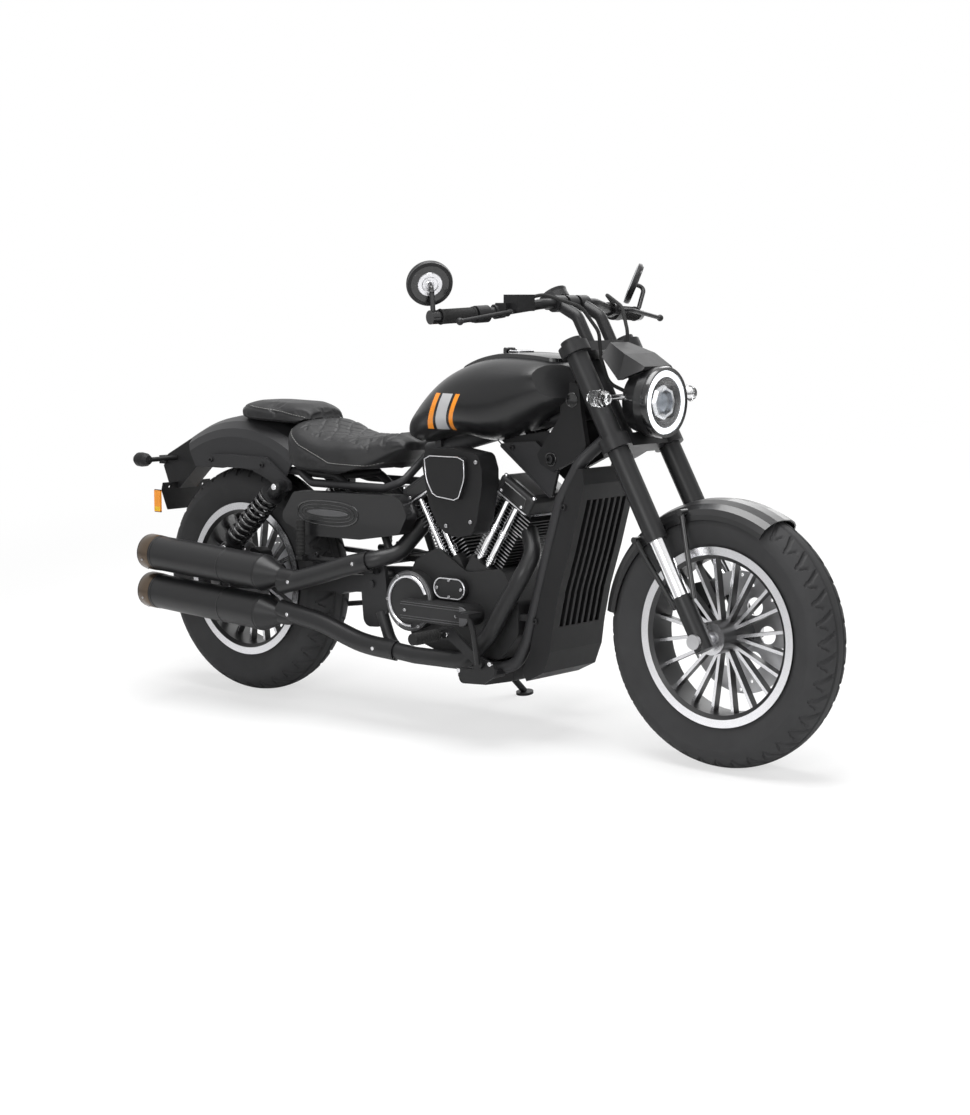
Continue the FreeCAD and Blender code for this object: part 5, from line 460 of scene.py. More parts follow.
class Shell:
    """Points and faces of one piece, gathered in machine millimetres."""

    def __init__(self) -> None:
        """Starts empty."""
        self.points: list[Vector] = []
        self.faces: list[tuple[int, ...]] = []

    def skin(self, rings: Sequence[Ring], loop: bool = False, caps: bool = True) -> Shell:
        """Joins rings of equal count with quads.

        Args:
            rings: closed rings, each a list of points.
            loop: whether the last ring joins the first.
            caps: whether the end rings are closed with one face.

        Returns:
            This shell.
        """
        start, count = len(self.points), len(rings[0])
        for ring in rings:
            self.points.extend(ring)
        spans = len(rings) if loop else len(rings) - 1
        for row in range(spans):
            here, ahead = start + row * count, start + (row + 1) % len(rings) * count
            for spot in range(count):
                after = (spot + 1) % count
                self.faces.append((here + spot, here + after, ahead + after, ahead + spot))
        if caps and not loop:
            self.faces.append(tuple(range(start + count - 1, start - 1, -1)))
            last = start + (len(rings) - 1) * count
            self.faces.append(tuple(range(last, last + count)))
        return self

    def lathe(self, profile: Sequence[Pair], centre: Vector, axis: Vector, steps: int = 48,
              loop: bool = False) -> Shell:
        """Turns a profile of (radius, distance along the axis) about an axis."""
        side, up = square_to(axis)
        along = axis.normalized()
        rings = []
        for radius, far in profile:
            rings.append([centre + along * far + (side * math.cos(TAU * step / steps)
                                                  + up * math.sin(TAU * step / steps)) * max(radius, 0.01)
                          for step in range(steps)])
        return self.skin(rings, loop=loop, caps=not loop)

    def tube(self, route: Sequence[Vector], radius: float | Callable[[float], float], sides: int = 16,
             closed: bool = False) -> Shell:
        """A round bar along a route, with a radius or a function of the share along it."""
        rings = []
        side, _ = square_to(route[1] - route[0])
        last = len(route) - 1
        for spot, point in enumerate(route):
            if closed:
                along = route[(spot + 1) % len(route)] - route[spot - 1]
            else:
                along = route[min(spot + 1, last)] - route[max(spot - 1, 0)]
            along.normalize()
            side = (side - along * side.dot(along)).normalized()
            up = along.cross(side)
            size = radius(spot / last) if callable(radius) else radius
            turns = [TAU * step / sides for step in range(sides)]
            rings.append([point + (side * math.cos(turn) + up * math.sin(turn)) * size for turn in turns])
        return self.skin(rings, loop=closed)

    def prism(self, outline: Sequence[Pair], low: float, high: float, bevel: float = 0.0,
              frame: Matrix | None = None) -> Shell:
        """A plate: an outline of (x, z) pairs, thick along Y from low to high, with bevelled edges."""
        place = frame or Matrix.Identity(4)
        levels = [(low, bevel), (low + bevel, 0.0), (high - bevel, 0.0), (high, bevel)] if bevel else [
            (low, 0.0), (high, 0.0)]
        rings = []
        for level, inset in levels:
            rings.append([place @ Vector((x, level, z)) for x, z in shrunk(outline, inset)])
        return self.skin(rings)

    def ball(self, centre: Vector, radius: float, steps: int = 24) -> Shell:
        """A ball."""
        arc = [(radius * math.sin(math.pi * step / 12), -radius * math.cos(math.pi * step / 12))
               for step in range(13)]
        return self.lathe(arc, centre, Z_AXIS, steps)

    def hoop(self, centre: Vector, axis: Vector, radius: float, wire: float, steps: int = 64) -> Shell:
        """A ring of round wire."""
        side, up = square_to(axis)
        route = [centre + (side * math.cos(TAU * step / steps) + up * math.sin(TAU * step / steps)) * radius
                 for step in range(steps)]
        return self.tube(route, wire, 10, closed=True)

    def bolt(self, head: Vector, axis: Vector, radius: float, rise: float | None = None) -> Shell:
        """A socket-head bolt whose head stands on a surface at the given point."""
        rise = rise or radius * 0.9
        self.lathe([(0, -radius * 0.3), (radius, -radius * 0.3), (radius, rise * 0.85), (radius * 0.85, rise),
                    (radius * 0.52, rise), (radius * 0.5, rise * 0.4), (0, rise * 0.4)], head, axis, 18)
        return self

    def mirrored(self) -> Shell:
        """A twin on the machine's other side."""
        twin = Shell()
        twin.points = [Vector((point.x, -point.y, point.z)) for point in self.points]
        twin.faces = [face[::-1] for face in self.faces]
        return twin

    def paired(self) -> Shell:
        """This shell with its mirror image on the other side."""
        return self.merge(self.mirrored())

    def merge(self, other: Shell) -> Shell:
        """Takes in another shell's points and faces."""
        start = len(self.points)
        self.points.extend(other.points)
        self.faces.extend(tuple(start + spot for spot in face) for face in other.faces)
        return self

    def piece(self, name: str, finish: Finish, body: str, slot: str, smooth_deg: float = 35.0,
              replaces: Iterable[str] = ()) -> bpy.types.Object:
        """Makes the object, in place on the leaned machine and riding on its body.

        Args:
            name: the piece's name.
            finish: its finish.
            body: the body it rides on.
            slot: the record's material slot; not used.
            smooth_deg: edges flatter than this are shaded smooth.
            replaces: the nodes it stands for.

        Returns:
            The Blender object.
        """
        mesh = bpy.data.meshes.new(name)
        matrix = STANCE.matrix()
        mesh.from_pydata([matrix @ point for point in self.points], [], self.faces)
        mesh.validate()
        mesh.shade_smooth()
        mesh.set_sharp_from_angle(angle=math.radians(smooth_deg))
        mesh.materials.append(finish.build())
        made = bpy.data.objects.new(name, mesh)
        bpy.context.scene.collection.objects.link(made)
        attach(made, body)
        if replaces:
            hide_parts(*replaces)
        log.info("piece %s with %d faces", name, len(self.faces))
        return made


def square_to(axis: Vector) -> tuple[Vector, Vector]:
    """Two unit directions square to an axis and to each other."""
    along = axis.normalized()
    start = Z_AXIS if abs(along.z) < 0.9 else X_AXIS
    side = start.cross(along).normalized()
    return side, along.cross(side)


def shrunk(outline: Sequence[Pair], inset: float) -> list[Pair]:
    """An outline moved inwards by an inset, corner by corner."""
    if not inset:
        return list(outline)
    points = [Vector(point) for point in outline]
    area = sum(a.x * b.y - b.x * a.y for a, b in zip(points, points[1:] + points[:1]))
    turn = 1.0 if area > 0 else -1.0
    result = []
    for spot, point in enumerate(points):
        back = (point - points[spot - 1]).normalized()
        ahead = (points[(spot + 1) % len(points)] - point).normalized()
        normal = Vector((-back.y - ahead.y, back.x + ahead.x)) * turn
        normal.normalize()
        lean = max(0.4, normal.dot(Vector((-back.y, back.x)) * turn))
        result.append(tuple(point + normal * (inset / lean)))
    return result


def corner_route(corners: Sequence[Vector], shares: Sequence[float]) -> list[Vector]:
    """Points along each side of a closed outline, clear of its corners.

    Args:
        corners: the outline's corners in order.
        shares: where on each side the points lie, from zero to one.

    Returns:
        The points in order.
    """
    ends = list(corners[1:]) + [corners[0]]
    return [start.lerp(end, share) for start, end in zip(corners, ends) for share in shares]


def smooth_route(points: Sequence[Vector], steps: int = 8) -> list[Vector]:
    """A smooth curve through the points."""
    route = []
    padded = [points[0] * 2 - points[1], *points, points[-1] * 2 - points[-2]]
    for before, start, end, after in zip(padded, padded[1:], padded[2:], padded[3:]):
        for step in range(steps):
            share = step / steps
            square, cube = share * share, share ** 3
            bend = before * 2 - start * 5 + end * 4 - after
            route.append((start * 2 + (end - before) * share + bend * square
                          + (start * 3 - before - end * 3 + after) * cube) / 2)
    return route + [Vector(points[-1])]


# Wheels


class Tread(Enum):
    """Which wheel a tyre is for."""

    FRONT = "front"
    REAR = "rear"


@dataclass
class Tyre:
    """A tyre with a zigzag tread and slanted grooves reaching its shoulders."""

    kind: Tread
    centre: Vector
    radius: float
    width: float
    rim_half: float
    steps: int = 720
    rim_radius: float = 217.5
    groove: float = 5.0
    sidewall_share: float = 0.5

    def profile(self) -> list[tuple[float, float, float]]:
        """Points of (radius, y, share across the tread) from the right bead to the left one."""
        middle = self.rim_radius + (self.radius - self.rim_radius) * self.sidewall_share
        points = [(self.rim_radius - 4, -self.rim_half + 7.4, 0.0),
                  (self.rim_radius + 3, -self.rim_half + 6, 0.0)]
        count = 46
        for step in range(count + 1):
            angle = math.pi * step / count
            across = -math.cos(angle)
            points.append((middle + (self.radius - middle) * math.sin(angle), self.width / 2 * across,
                           across if step not in (0, count) else 0.0))
        points += [(self.rim_radius + 3, self.rim_half - 6, 0.0),
                   (self.rim_radius - 4, self.rim_half - 7.4, 0.0)]
        return points

    def depth(self, across: float, turn: float) -> float:
        """How deep the tread is cut at a share across and a turn in radians."""
        if abs(across) > 0.93:
            return 0.0
        pitches = 40 if self.kind is Tread.FRONT else 36
        phase = turn * pitches / TAU
        zigzag = 0.05 * (abs((phase % 1.0) * 4 - 2) - 1)
        if abs(abs(across) - 0.2 - zigzag * 0.5) < 0.035:
            return 1.0
        slant = (phase + 0.9 * abs(across) + (0.5 if across > 0 else 0.0)) % 1.0
        if 0.3 < abs(across) < 0.88 and slant < 0.2:
            return 1.0
        half = (phase * 1.0 + 0.35 - 0.6 * abs(across)) % 1.0
        if 0.55 < abs(across) < 0.8 and half < 0.12:
            return 0.8
        return 0.0

    def build(self) -> bpy.types.Object:
        """Makes the tyre in place of its plain solid.

        Returns:
            The Blender object.
        """
        shell = Shell()
        profile = self.profile()
        rings = []
        for step in range(self.steps):
            turn = TAU * step / self.steps
            ring = []
            for radius, y, across in profile:
                reach = radius - self.groove * self.depth(across, turn) if across else radius
                ring.append(self.centre + Vector((reach * math.cos(turn), y, reach * math.sin(turn))))
            rings.append(ring)
        shell.skin(rings, loop=True, caps=False)
        name = self.kind.value
        return shell.piece(f"{name}_tyre_with_tread", TYRE_RUBBER, f"{name}_wheel", "tyre",
                           replaces=[f"{name}_tyre"])


# Studio


@dataclass
class Studio:
    """Floor, backdrop, soft lights and the camera."""

    eye: tuple[float, float, float] = (4539.0, -4302.0, 1148.0)
    yaw_deg: float = 130.590
    pitch_deg: float = -7.057
    focal_px: float = 2185.2
    long_side_px: float = 1115.0
    sensor_mm: float = 36.0

    def camera(self) -> None:
        """Makes the camera that sees the machine as the photograph does."""
        data = bpy.data.cameras.new("camera")
        data.sensor_width = self.sensor_mm
        data.lens = self.focal_px / self.long_side_px * self.sensor_mm
        data.clip_end = 200.0
        camera = bpy.data.objects.new("camera", data)
        bpy.context.scene.collection.objects.link(camera)
        yaw, pitch = math.radians(self.yaw_deg), math.radians(self.pitch_deg)
        ahead = Vector((math.cos(pitch) * math.cos(yaw), math.cos(pitch) * math.sin(yaw), math.sin(pitch)))
        right = ahead.cross(Z_AXIS).normalized()
        up = right.cross(ahead)
        turn = Matrix((right, up, -ahead)).transposed()
        camera.matrix_world = Matrix.Translation(STANCE.matrix() @ Vector(self.eye)) @ (
            STANCE.turn() @ turn).to_4x4()
        bpy.context.scene.camera = camera

    def lamp(self, name: str, place: tuple[float, float, float], aim: tuple[float, float, float], size: float,
             power: float) -> None:
        """A square soft lamp.

        Args:
            name: the lamp's name.
            place: where it hangs, in metres.
            aim: what it points at, in metres.
            size: its side in metres.
            power: its power in watts.
        """
        data = bpy.data.lights.new(name, "AREA")
        data.size = size
        data.energy = power
        lamp = bpy.data.objects.new(name, data)
        bpy.context.scene.collection.objects.link(lamp)
        lamp.location = place
        lamp.rotation_mode = "QUATERNION"
        lamp.rotation_quaternion = (Vector(aim) - Vector(place)).to_track_quat("-Z", "Y")

    def seen(self, graph: Graph) -> Value:
        """One for camera, mirror and glass rays, which see the white background."""
        path = graph.add("ShaderNodeLightPath")
        rays = [Value(graph, path.outputs[key]) for key in ("Is Camera Ray", "Is Glossy Ray",
                                                            "Is Transmission Ray")]
        return rays[0] + rays[1] + rays[2]

    def floor(self) -> None:
        """A plain pale floor that keeps the machine's shadow."""
        mesh = bpy.data.meshes.new("studio_floor")
        reach = 60.0
        mesh.from_pydata([(-reach, -reach, 0), (reach, -reach, 0), (reach, reach, 0), (-reach, reach, 0)], [],
                         [(0, 1, 2, 3)])
        graph = Graph("studio_floor")
        graph.surface.inputs["Base Color"].default_value = (0.93, 0.93, 0.93, 1.0)
        graph.surface.inputs["Roughness"].default_value = 0.9
        graph.surface.inputs["Specular IOR Level"].default_value = 0.1
        light = graph.add("ShaderNodeEmission")
        path = graph.add("ShaderNodeLightPath")
        far = graph.add("ShaderNodeVectorMath", {"operation": "LENGTH"}, {0: graph.place()})
        fade = Value(graph, far.outputs["Value"]).step(1.2, 4.0)
        share = Value(graph, path.outputs["Is Camera Ray"]) * (fade * 0.38 + 0.62)
        mix = graph.add("ShaderNodeMixShader", None, {0: share, 1: graph.surface.outputs[0],
                                                      2: light.outputs[0]})
        graph.link(graph.output.inputs["Surface"], mix.outputs[0])
        mesh.materials.append(graph.material)
        made = bpy.data.objects.new("studio_floor", mesh)
        bpy.context.scene.collection.objects.link(made)

    def world(self) -> None:
        """A white background and a weaker even light from it."""
        world = bpy.data.worlds.new("studio")
        bpy.context.scene.world = world
        world.use_nodes = True
        graph = Graph.__new__(Graph)
        graph.tree = world.node_tree
        back = world.node_tree.nodes["Background"]
        back.inputs["Color"].default_value = (1.0, 1.0, 1.0, 1.0)
        graph.link(back.inputs["Strength"], self.seen(graph).step(0.0, 1.0) * 0.86 + 0.14)

    def build(self) -> None:
        """Sets the studio up."""
        self.camera()
        self.floor()
        self.world()
        self.lamp("top_softbox", (0.2, 0.0, 4.2), (0.0, 0.0, 0.4), 3.2, 260.0)
        self.lamp("right_softbox", (1.5, -5.0, 2.6), (0.0, 0.0, 0.5), 2.2, 125.0)
        self.lamp("front_softbox", (5.0, -1.0, 2.4), (0.2, 0.0, 0.6), 2.5, 55.0)
        self.lamp("left_softbox", (-1.0, 5.0, 2.8), (0.0, 0.0, 0.5), 3.0, 70.0)
        bpy.context.scene.view_settings.view_transform = "Standard"


@dataclass
class Seat:
    """A leather seat: its solid remeshed, swelled as a cloth cushion, then quilted and stitched."""

    node: str
    name: str
    seam: tuple[Pair, ...]
    quilt: tuple[float, float] | None = None
    quilt_rear: float = 0.0
    quilt_front: float = 0.0
    quilt_half: float = 0.0
    voxel: float = 0.006
    shrink: float = 0.003
    cap: float = 0.008
    pressure: float = 4.0
    frames: int = 20

    def evaluated(self, work: bpy.types.Object) -> bpy.types.Mesh:
        """The object's mesh with its modifiers applied."""
        return bpy.data.meshes.new_from_object(work.evaluated_get(bpy.context.evaluated_depsgraph_get()))

    def applied(self, work: bpy.types.Object) -> None:
        """Puts the modified mesh in place of the object's own and clears its modifiers."""
        mesh = self.evaluated(work)
        work.modifiers.clear()
        work.data = mesh

    def swelled(self, work: bpy.types.Object) -> None:
        """Runs the cloth from a slightly smaller shape and keeps how far each point moves short."""
        rest = [point.co.copy() for point in work.data.vertices]
        normals = [point.normal.copy() for point in work.data.vertices]
        for point, normal in zip(work.data.vertices, normals):
            point.co -= normal * self.shrink
        cloth = work.modifiers.new("Cloth", "CLOTH")
        cloth.settings.quality = 3
        cloth.settings.use_pressure = True
        cloth.settings.uniform_pressure_force = self.pressure
        cloth.settings.effector_weights.gravity = 0.0
        scene = bpy.context.scene
        for frame in range(1, self.frames + 1):
            scene.frame_set(frame)
        mesh = self.evaluated(work)
        work.modifiers.clear()
        for point, swollen, start, normal in zip(work.data.vertices, mesh.vertices, rest, normals):
            move = swollen.co - (start - normal * self.shrink)
            if move.length > self.cap:
                move *= self.cap / move.length
            free = min(1.0, max(0.0, (normal.z + 0.5) / 0.6))
            point.co = start - normal * self.shrink + move * free
        scene.frame_set(1)

    def seam_height(self, x: float) -> float:
        """The seam's height between its top panel and side panels at a place along the seat."""
        for (start, low), (end, high) in zip(self.seam, self.seam[1:]):
            if start <= x <= end:
                return low + (high - low) * (x - start) / (end - start)
        return self.seam[0][1] if x < self.seam[0][0] else self.seam[-1][1]

    def quilted(self, work: bpy.types.Object) -> None:
        """Presses the diamond quilting and the seam around the top panel into the leather."""
        back = STANCE.matrix().inverted()
        turn = STANCE.turn()
        for point in work.data.vertices:
            place = back @ point.co
            upward = (turn.transposed() @ point.normal).z
            press = 1.6 * math.exp(-((place.z - self.seam_height(place.x)) / 3.2) ** 2) * (upward < 0.93)
            if self.quilt and upward > 0.35 and self.quilt_rear < place.x < self.quilt_front and abs(
                    place.y) < self.quilt_half:
                long, wide = self.quilt
                for way in SIDES:
                    line = (place.x / long + way * (abs(place.y) / wide) ** 0.8) % 1.0
                    press = max(press, 2.6 * math.exp(-(min(line, 1 - line) * long / 4.0) ** 2))
            point.co -= point.normal * press * MM

    def stitches(self, work: bpy.types.Object) -> None:
        """Pale stitches just above the seam on both sides."""
        tree = BVHTree.FromObject(work, bpy.context.evaluated_depsgraph_get())
        matrix, back, turn = STANCE.matrix(), STANCE.matrix().inverted(), STANCE.turn()
        thread = Shell()
        first, last = self.seam[0][0] + 6, self.seam[-1][0] - 4
        count = int((last - first) / 7)
        for side in SIDES:
            for step in range(count):
                x = first + (last - first) * step / count
                ends = []
                for far in (0.0, 4.4):
                    start = Vector((x + far, side * 260, self.seam_height(x + far) + 5.0))
                    hit, _, _, _ = tree.ray_cast(matrix @ start, turn @ Vector((0, -side, 0)))
                    if hit:
                        ends.append(back @ hit)
                if len(ends) == 2 and (ends[1] - ends[0]).length < 9:
                    thread.tube(ends, 0.75, 6)
        if thread.faces:
            thread.piece(f"{self.name}_stitching", THREAD, "chassis", "leather")

    def build(self, nodes: dict[str, bpy.types.Object]) -> bpy.types.Object:
        """Makes the seat in place of its solid.

        Args:
            nodes: the frame's objects by name.

        Returns:
            The Blender object.
        """
        work = bpy.data.objects.new(self.name, nodes[self.node].data.copy())
        bpy.context.scene.collection.objects.link(work)
        work.data.materials.clear()
        remesh = work.modifiers.new("Remesh", "REMESH")
        remesh.mode = "VOXEL"
        remesh.voxel_size = self.voxel
        self.applied(work)
        self.swelled(work)
        work.modifiers.new("Subdivision", "SUBSURF").levels = 1
        self.applied(work)
        self.quilted(work)
        work.data.materials.clear()
        work.data.materials.append(LEATHER.build())
        work.data.shade_smooth()
        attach(work, "chassis")
        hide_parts(self.node)
        self.stitches(work)
        log.info("seat %s", self.name)
        return work


@dataclass
class Headlamp:
    """The lamp's inside: daytime ring, dark bowl, octagonal projector and cooling ribs."""

    front: float = 1430.0
    height: float = 871.0
    radius: float = 86.0

    def centre(self) -> Vector:
        """The middle of the lens."""
        return Vector((self.front, 0, self.height))

    def build(self) -> None:
        """Makes the lamp's pieces."""
        middle = self.centre()
        rim = [(self.radius + 0.4, -14), (self.radius + 1.6, -4), (self.radius - 1, 2.5),
               (self.radius - 7.6, 1), (self.radius - 7.6, -6)]
        Shell().lathe(rim, middle, X_AXIS, 96, loop=True).piece("headlamp_bezel", GLOSS_PLASTIC, "steering",
                                                                 "black_metal")
        ring = [(76, -9), (76, -3), (70, 0), (62, -2), (61, -9)]
        Shell().lathe(ring, middle, X_AXIS, 96, loop=True).piece("headlamp_day_ring", DAYLIGHT, "steering",
                                                                  "lamp_lens")
        bowl = [(61, -8), (57, -10), (50, -24), (40, -28), (0, -28), (0, -29), (62, -29)]
        Shell().lathe(bowl, middle, X_AXIS, 64, loop=True).piece("headlamp_bowl", GLOSS_PLASTIC, "steering",
                                                                  "black_metal")
        frame = [(39, -27), (41, -12), (37, -8), (31, -9), (29, -20), (29, -27)]
        Shell().lathe(frame, middle, X_AXIS, 8, loop=True).piece("headlamp_projector", CHROME, "steering",
                                                                  "chrome", 20)
        bulb = [(0, -10), (9, -10.6), (17, -13), (24, -18), (27, -25), (0, -26)]
        Shell().lathe(bulb, middle, X_AXIS, 48).piece("headlamp_eye", LENS_EYE, "steering", "lamp_lens")
        ribs = Shell()
        for level in (-46, -40, -34, 34, 40, 46):
            half = math.sqrt(60 ** 2 - level ** 2) * 0.9
            rib = [middle + Vector((-20, -half, level)), middle + Vector((-12, 0, level)),
                   middle + Vector((-20, half, level))]
            ribs.tube(smooth_route(rib, 6), 1.5, 8)
        ribs.piece("headlamp_ribs", STEEL_BLACK, "steering", "black_metal")


@dataclass
class Engine:
    """Bright trim, ribs and bolts on the V-twin."""

    crank: tuple[float, float] = (873.0, 360.0)
    lean_deg: float = 31.0
    fin_low: float = 88.0
    fin_step: float = 9.6
    fin_thick: float = 3.4
    head_low: float = 214.0
    head_high: float = 286.0

    def bank(self, way: int) -> Matrix:
        """From an upright cylinder to its place in the V."""
        turn = Matrix.Rotation(math.radians(self.lean_deg * way), 4, "Y")
        return Matrix.Translation(Vector((self.crank[0], 0, self.crank[1]))) @ turn

    def fins(self) -> None:
        """Machined edges along the fins on the right and the left."""
        edges = Shell()
        count = int((self.head_high - self.fin_low) / self.fin_step)
        for way in SIDES:
            bank = self.bank(way)
            for step in range(count):
                low = self.fin_low + self.fin_step * step
                wide, deep = (50.0, 74.0) if low < self.head_low else (66.0, 78.0)
                rail = [(-wide + 1, low + 0.3), (wide - 1, low + 0.3), (wide - 1, low + self.fin_thick - 0.3),
                        (-wide + 1, low + self.fin_thick - 0.3)]
                edges.prism(rail, -deep - 0.9, -deep + 0.5, 0.3, bank)
                edges.prism(rail, deep - 0.5, deep + 0.9, 0.3, bank)
        edges.piece("cylinder_fin_edges", FIN_EDGE, "chassis", "fins")

    def rockers(self) -> None:
        """A bright rim, a raised lid and bolts on each rocker cover."""
        rims, lids, bolts = Shell(), Shell(), Shell()
        for way in SIDES:
            bank = self.bank(way)
            corners = [bank @ Vector((x, y, 292)) for x, y in ((-63, -101), (63, -101), (63, 77), (-63, 77))]
            rims.tube(corner_route(corners, (0.08, 0.5, 0.92)), 2.4, 8, closed=True)
            lid = [(-50, 336), (50, 336), (44, 342), (-44, 342)]
            lids.prism(lid, -84, 62, 3.0, bank)
            axis = bank.to_3x3() @ Z_AXIS
            for x in (-53, 53):
                for y in (-90, 66):
                    bolts.bolt(bank @ Vector((x, y, 336.5)), axis, 5.5)
            out = RIGHTWARD
            lids.prism([(-46, 298), (46, 298), (40, 328), (-40, 328)], -103, -99, 2.0, bank)
            for x in (-38, 38):
                bolts.bolt(bank @ Vector((x, -102.5, 303)), out, 4.0)
        rims.piece("rocker_rims", ALUMINIUM, "chassis", "fins")
        lids.piece("rocker_lids", PAINT, "chassis", "engine_black")
        bolts.piece("rocker_bolts", CHROME, "chassis", "steel")

    def covers(self) -> None:
        """The clutch cover's open ring, the capsule's lines, the oval cover and their bolts."""
        hub = Vector((711, -142, 334))
        ring = [hub + Vector((math.cos(turn) * 65, -1.5, math.sin(turn) * 65)) for turn in
                [math.radians(20 + 262 * step / 60) for step in range(61)]]
        arc = Shell().tube(ring, 4.6, 10)
        arc.piece("clutch_cover_ring", ALUMINIUM, "chassis", "engine_black")
        step_ring = [(77.9, -10), (79.5, -2), (74, 2.5), (70, 1)]
        Shell().lathe(step_ring, hub, RIGHTWARD, 96, loop=True).piece(
            "clutch_cover_edge", CAST_GREY, "chassis", "engine_black")
        lines = Shell()
        for level in (-21, -15, 15, 21):
            half = math.sqrt(27 ** 2 - level ** 2)
            lines.tube([Vector((719 - half * 0.4, -172.2, 316 + level)),
                        Vector((917 + half * 0.4, -172.2, 316 + level))], 0.9, 8)
        lines.piece("capsule_lines", CAST_GREY, "chassis", "engine_black")
        cap = [(915, 291), (925, 291), (936, 296), (942, 306), (944, 316), (942, 326), (936, 336), (925, 341),
               (915, 341)]
        Shell().prism(cap, -175, -171, 1.4).piece("capsule_end", CAST_GREY, "chassis", "engine_black")
        oval = [Vector((838 + math.copysign(26, math.cos(turn)) + 26 * math.cos(turn), -124.5,
                        376 + 26 * math.sin(turn))) for turn in [TAU * step / 40 for step in range(40)]]
        Shell().tube(oval, 2.2, 8, closed=True).piece("oval_cover_rim", ALUMINIUM, "chassis", "engine_black")
        bolts = Shell()
        out = RIGHTWARD
        for x, z in ((797, 376), (879, 376), (838, 398), (838, 354)):
            bolts.bolt(Vector((x, -124, z)), out, 4.5)
        for turn in range(0, 360, 60):
            place = hub + Vector((math.cos(math.radians(turn)) * 73, 0, math.sin(math.radians(turn)) * 73))
            bolts.bolt(place, out, 4.2)
        for x, z in ((727, 316), (905, 316)):
            bolts.bolt(Vector((x, -172, z)), out, 4.4)
        bolts.piece("cover_bolts", STEEL, "chassis", "steel")

    def pushrods(self) -> None:
        """Bright ribbed seals at both ends of the pushrod tubes."""
        seals = Shell()
        for way in SIDES:
            bank = self.bank(way)
            axis = bank.to_3x3() @ Z_AXIS
            for x in (-17, 17):
                for up in (116, 123, 130, 196, 203, 210):
                    seals.hoop(bank @ Vector((x, -90, up)), axis, 9.6, 2.0, 28)
        seals.piece("pushrod_seals", CHROME, "chassis", "chrome")

    def filter(self) -> None:
        """The air cleaner's bright line and bolts."""
        rim = [Vector((x, -182.4, z)) for x, z in ((804, 722), (938, 723), (940, 669), (918, 613), (836, 621),
                                                   (812, 662))]
        route = corner_route(rim, (0.15, 0.5, 0.85))
        Shell().tube(route, 1.3, 8, closed=True).piece("air_cleaner_line", ALUMINIUM, "chassis",
                                                        "engine_black")
        bolts = Shell()
        for x, z in ((806, 708), (968, 712), (868, 545), (950, 560)):
            bolts.bolt(Vector((x, -168, z)), RIGHTWARD, 5.0)
        bolts.piece("air_cleaner_bolts", STEEL, "chassis", "steel")

    def build(self) -> None:
        """Makes all the engine's trim."""
        self.fins()
        self.rockers()
        self.covers()
        self.pushrods()
        self.filter()


@dataclass
class Exhaust:
    """End caps, clamps and heat shields of the stacked silencers."""

    rear: float = -237.0
    front: float = 241.0
    across: float = -204.0
    radius: float = 49.0
    levels: tuple[Pair, ...] = ((397.0, 375.0), (288.0, 265.0))

    def build(self) -> None:
        """Makes the silencers' pieces."""
        caps, bands, bolts = Shell(), Shell(), Shell()
        for rear_z, front_z in self.levels:
            tail = Vector((self.rear, self.across, rear_z))
            nose = Vector((self.front, self.across, front_z))
            along = (nose - tail).normalized()
            cap = [(self.radius + 0.5, 44), (self.radius + 1.5, 41), (self.radius + 1.5, 5),
                   (self.radius - 3, -1.5), (36, -2), (31, 3), (31, 30), (self.radius - 8, 30)]
            caps.lathe(cap, tail, along, 96, loop=True)
            for far, size in ((52, 0.8), (330, 0.9), (470, 1.2)):
                band = [(self.radius + 0.2, -3), (self.radius + size, -2), (self.radius + size, 2),
                        (self.radius + 0.2, 3), (self.radius - 2, 0)]
                bands.lathe(band, tail + along * far, along, 96, loop=True)
            for turn in (200, 250, 300, 340):
                out = Vector((0, math.cos(math.radians(turn)) * -1, math.sin(math.radians(turn))))
                out = (out - along * out.dot(along)).normalized()
                bolts.bolt(tail + along * 22 + out * (self.radius + 1.2), out, 3.2)
        caps.piece("silencer_end_caps", BRONZE, "chassis", "silencer_black")
        bands.piece("silencer_bands", STEEL_BLACK, "chassis", "silencer_black")
        bolts.piece("silencer_cap_bolts", STEEL, "chassis", "steel")
        self.shields()

    def shields(self) -> None:
        """Heat shields over the outer side of both pipes, with their bolts."""
        upper = [Vector(place) for place in ((300, -200, 347), (366, -198, 366), (441, -192, 388),
                                             (540, -188.6, 418), (610, -181, 435))]
        lower = [Vector(place) for place in ((300, -203, 281), (365, -200, 270), (450, -190, 254),
                                             (580, -180, 216), (700, -173.5, 205))]
        shell, bolts = Shell(), Shell()
        for route in (upper, lower):
            line = smooth_route(route, 8)
            rings = []
            for spot, point in enumerate(line):
                along = (line[min(spot + 1, len(line) - 1)] - line[max(spot - 1, 0)]).normalized()
                out = (RIGHTWARD - along * -along.y).normalized()
                up = along.cross(out)
                arc = [math.radians(-100 + 200 * step / 16) for step in range(17)]
                outer = [point + (out * math.cos(turn) + up * math.sin(turn)) * 26.5 for turn in arc]
                inner = [point + (out * math.cos(turn) + up * math.sin(turn)) * 24.3 for turn in arc[::-1]]
                rings.append(outer + inner)
            shell.skin(rings)
            for spot in (6, len(line) - 5):
                bolts.bolt(line[spot] + Vector((0, -26.2, 0)), RIGHTWARD, 5.0)
        shell.piece("pipe_heat_shields", SILENCER, "chassis", "silencer_black")
        bolts.piece("heat_shield_bolts", CHROME, "chassis", "steel")


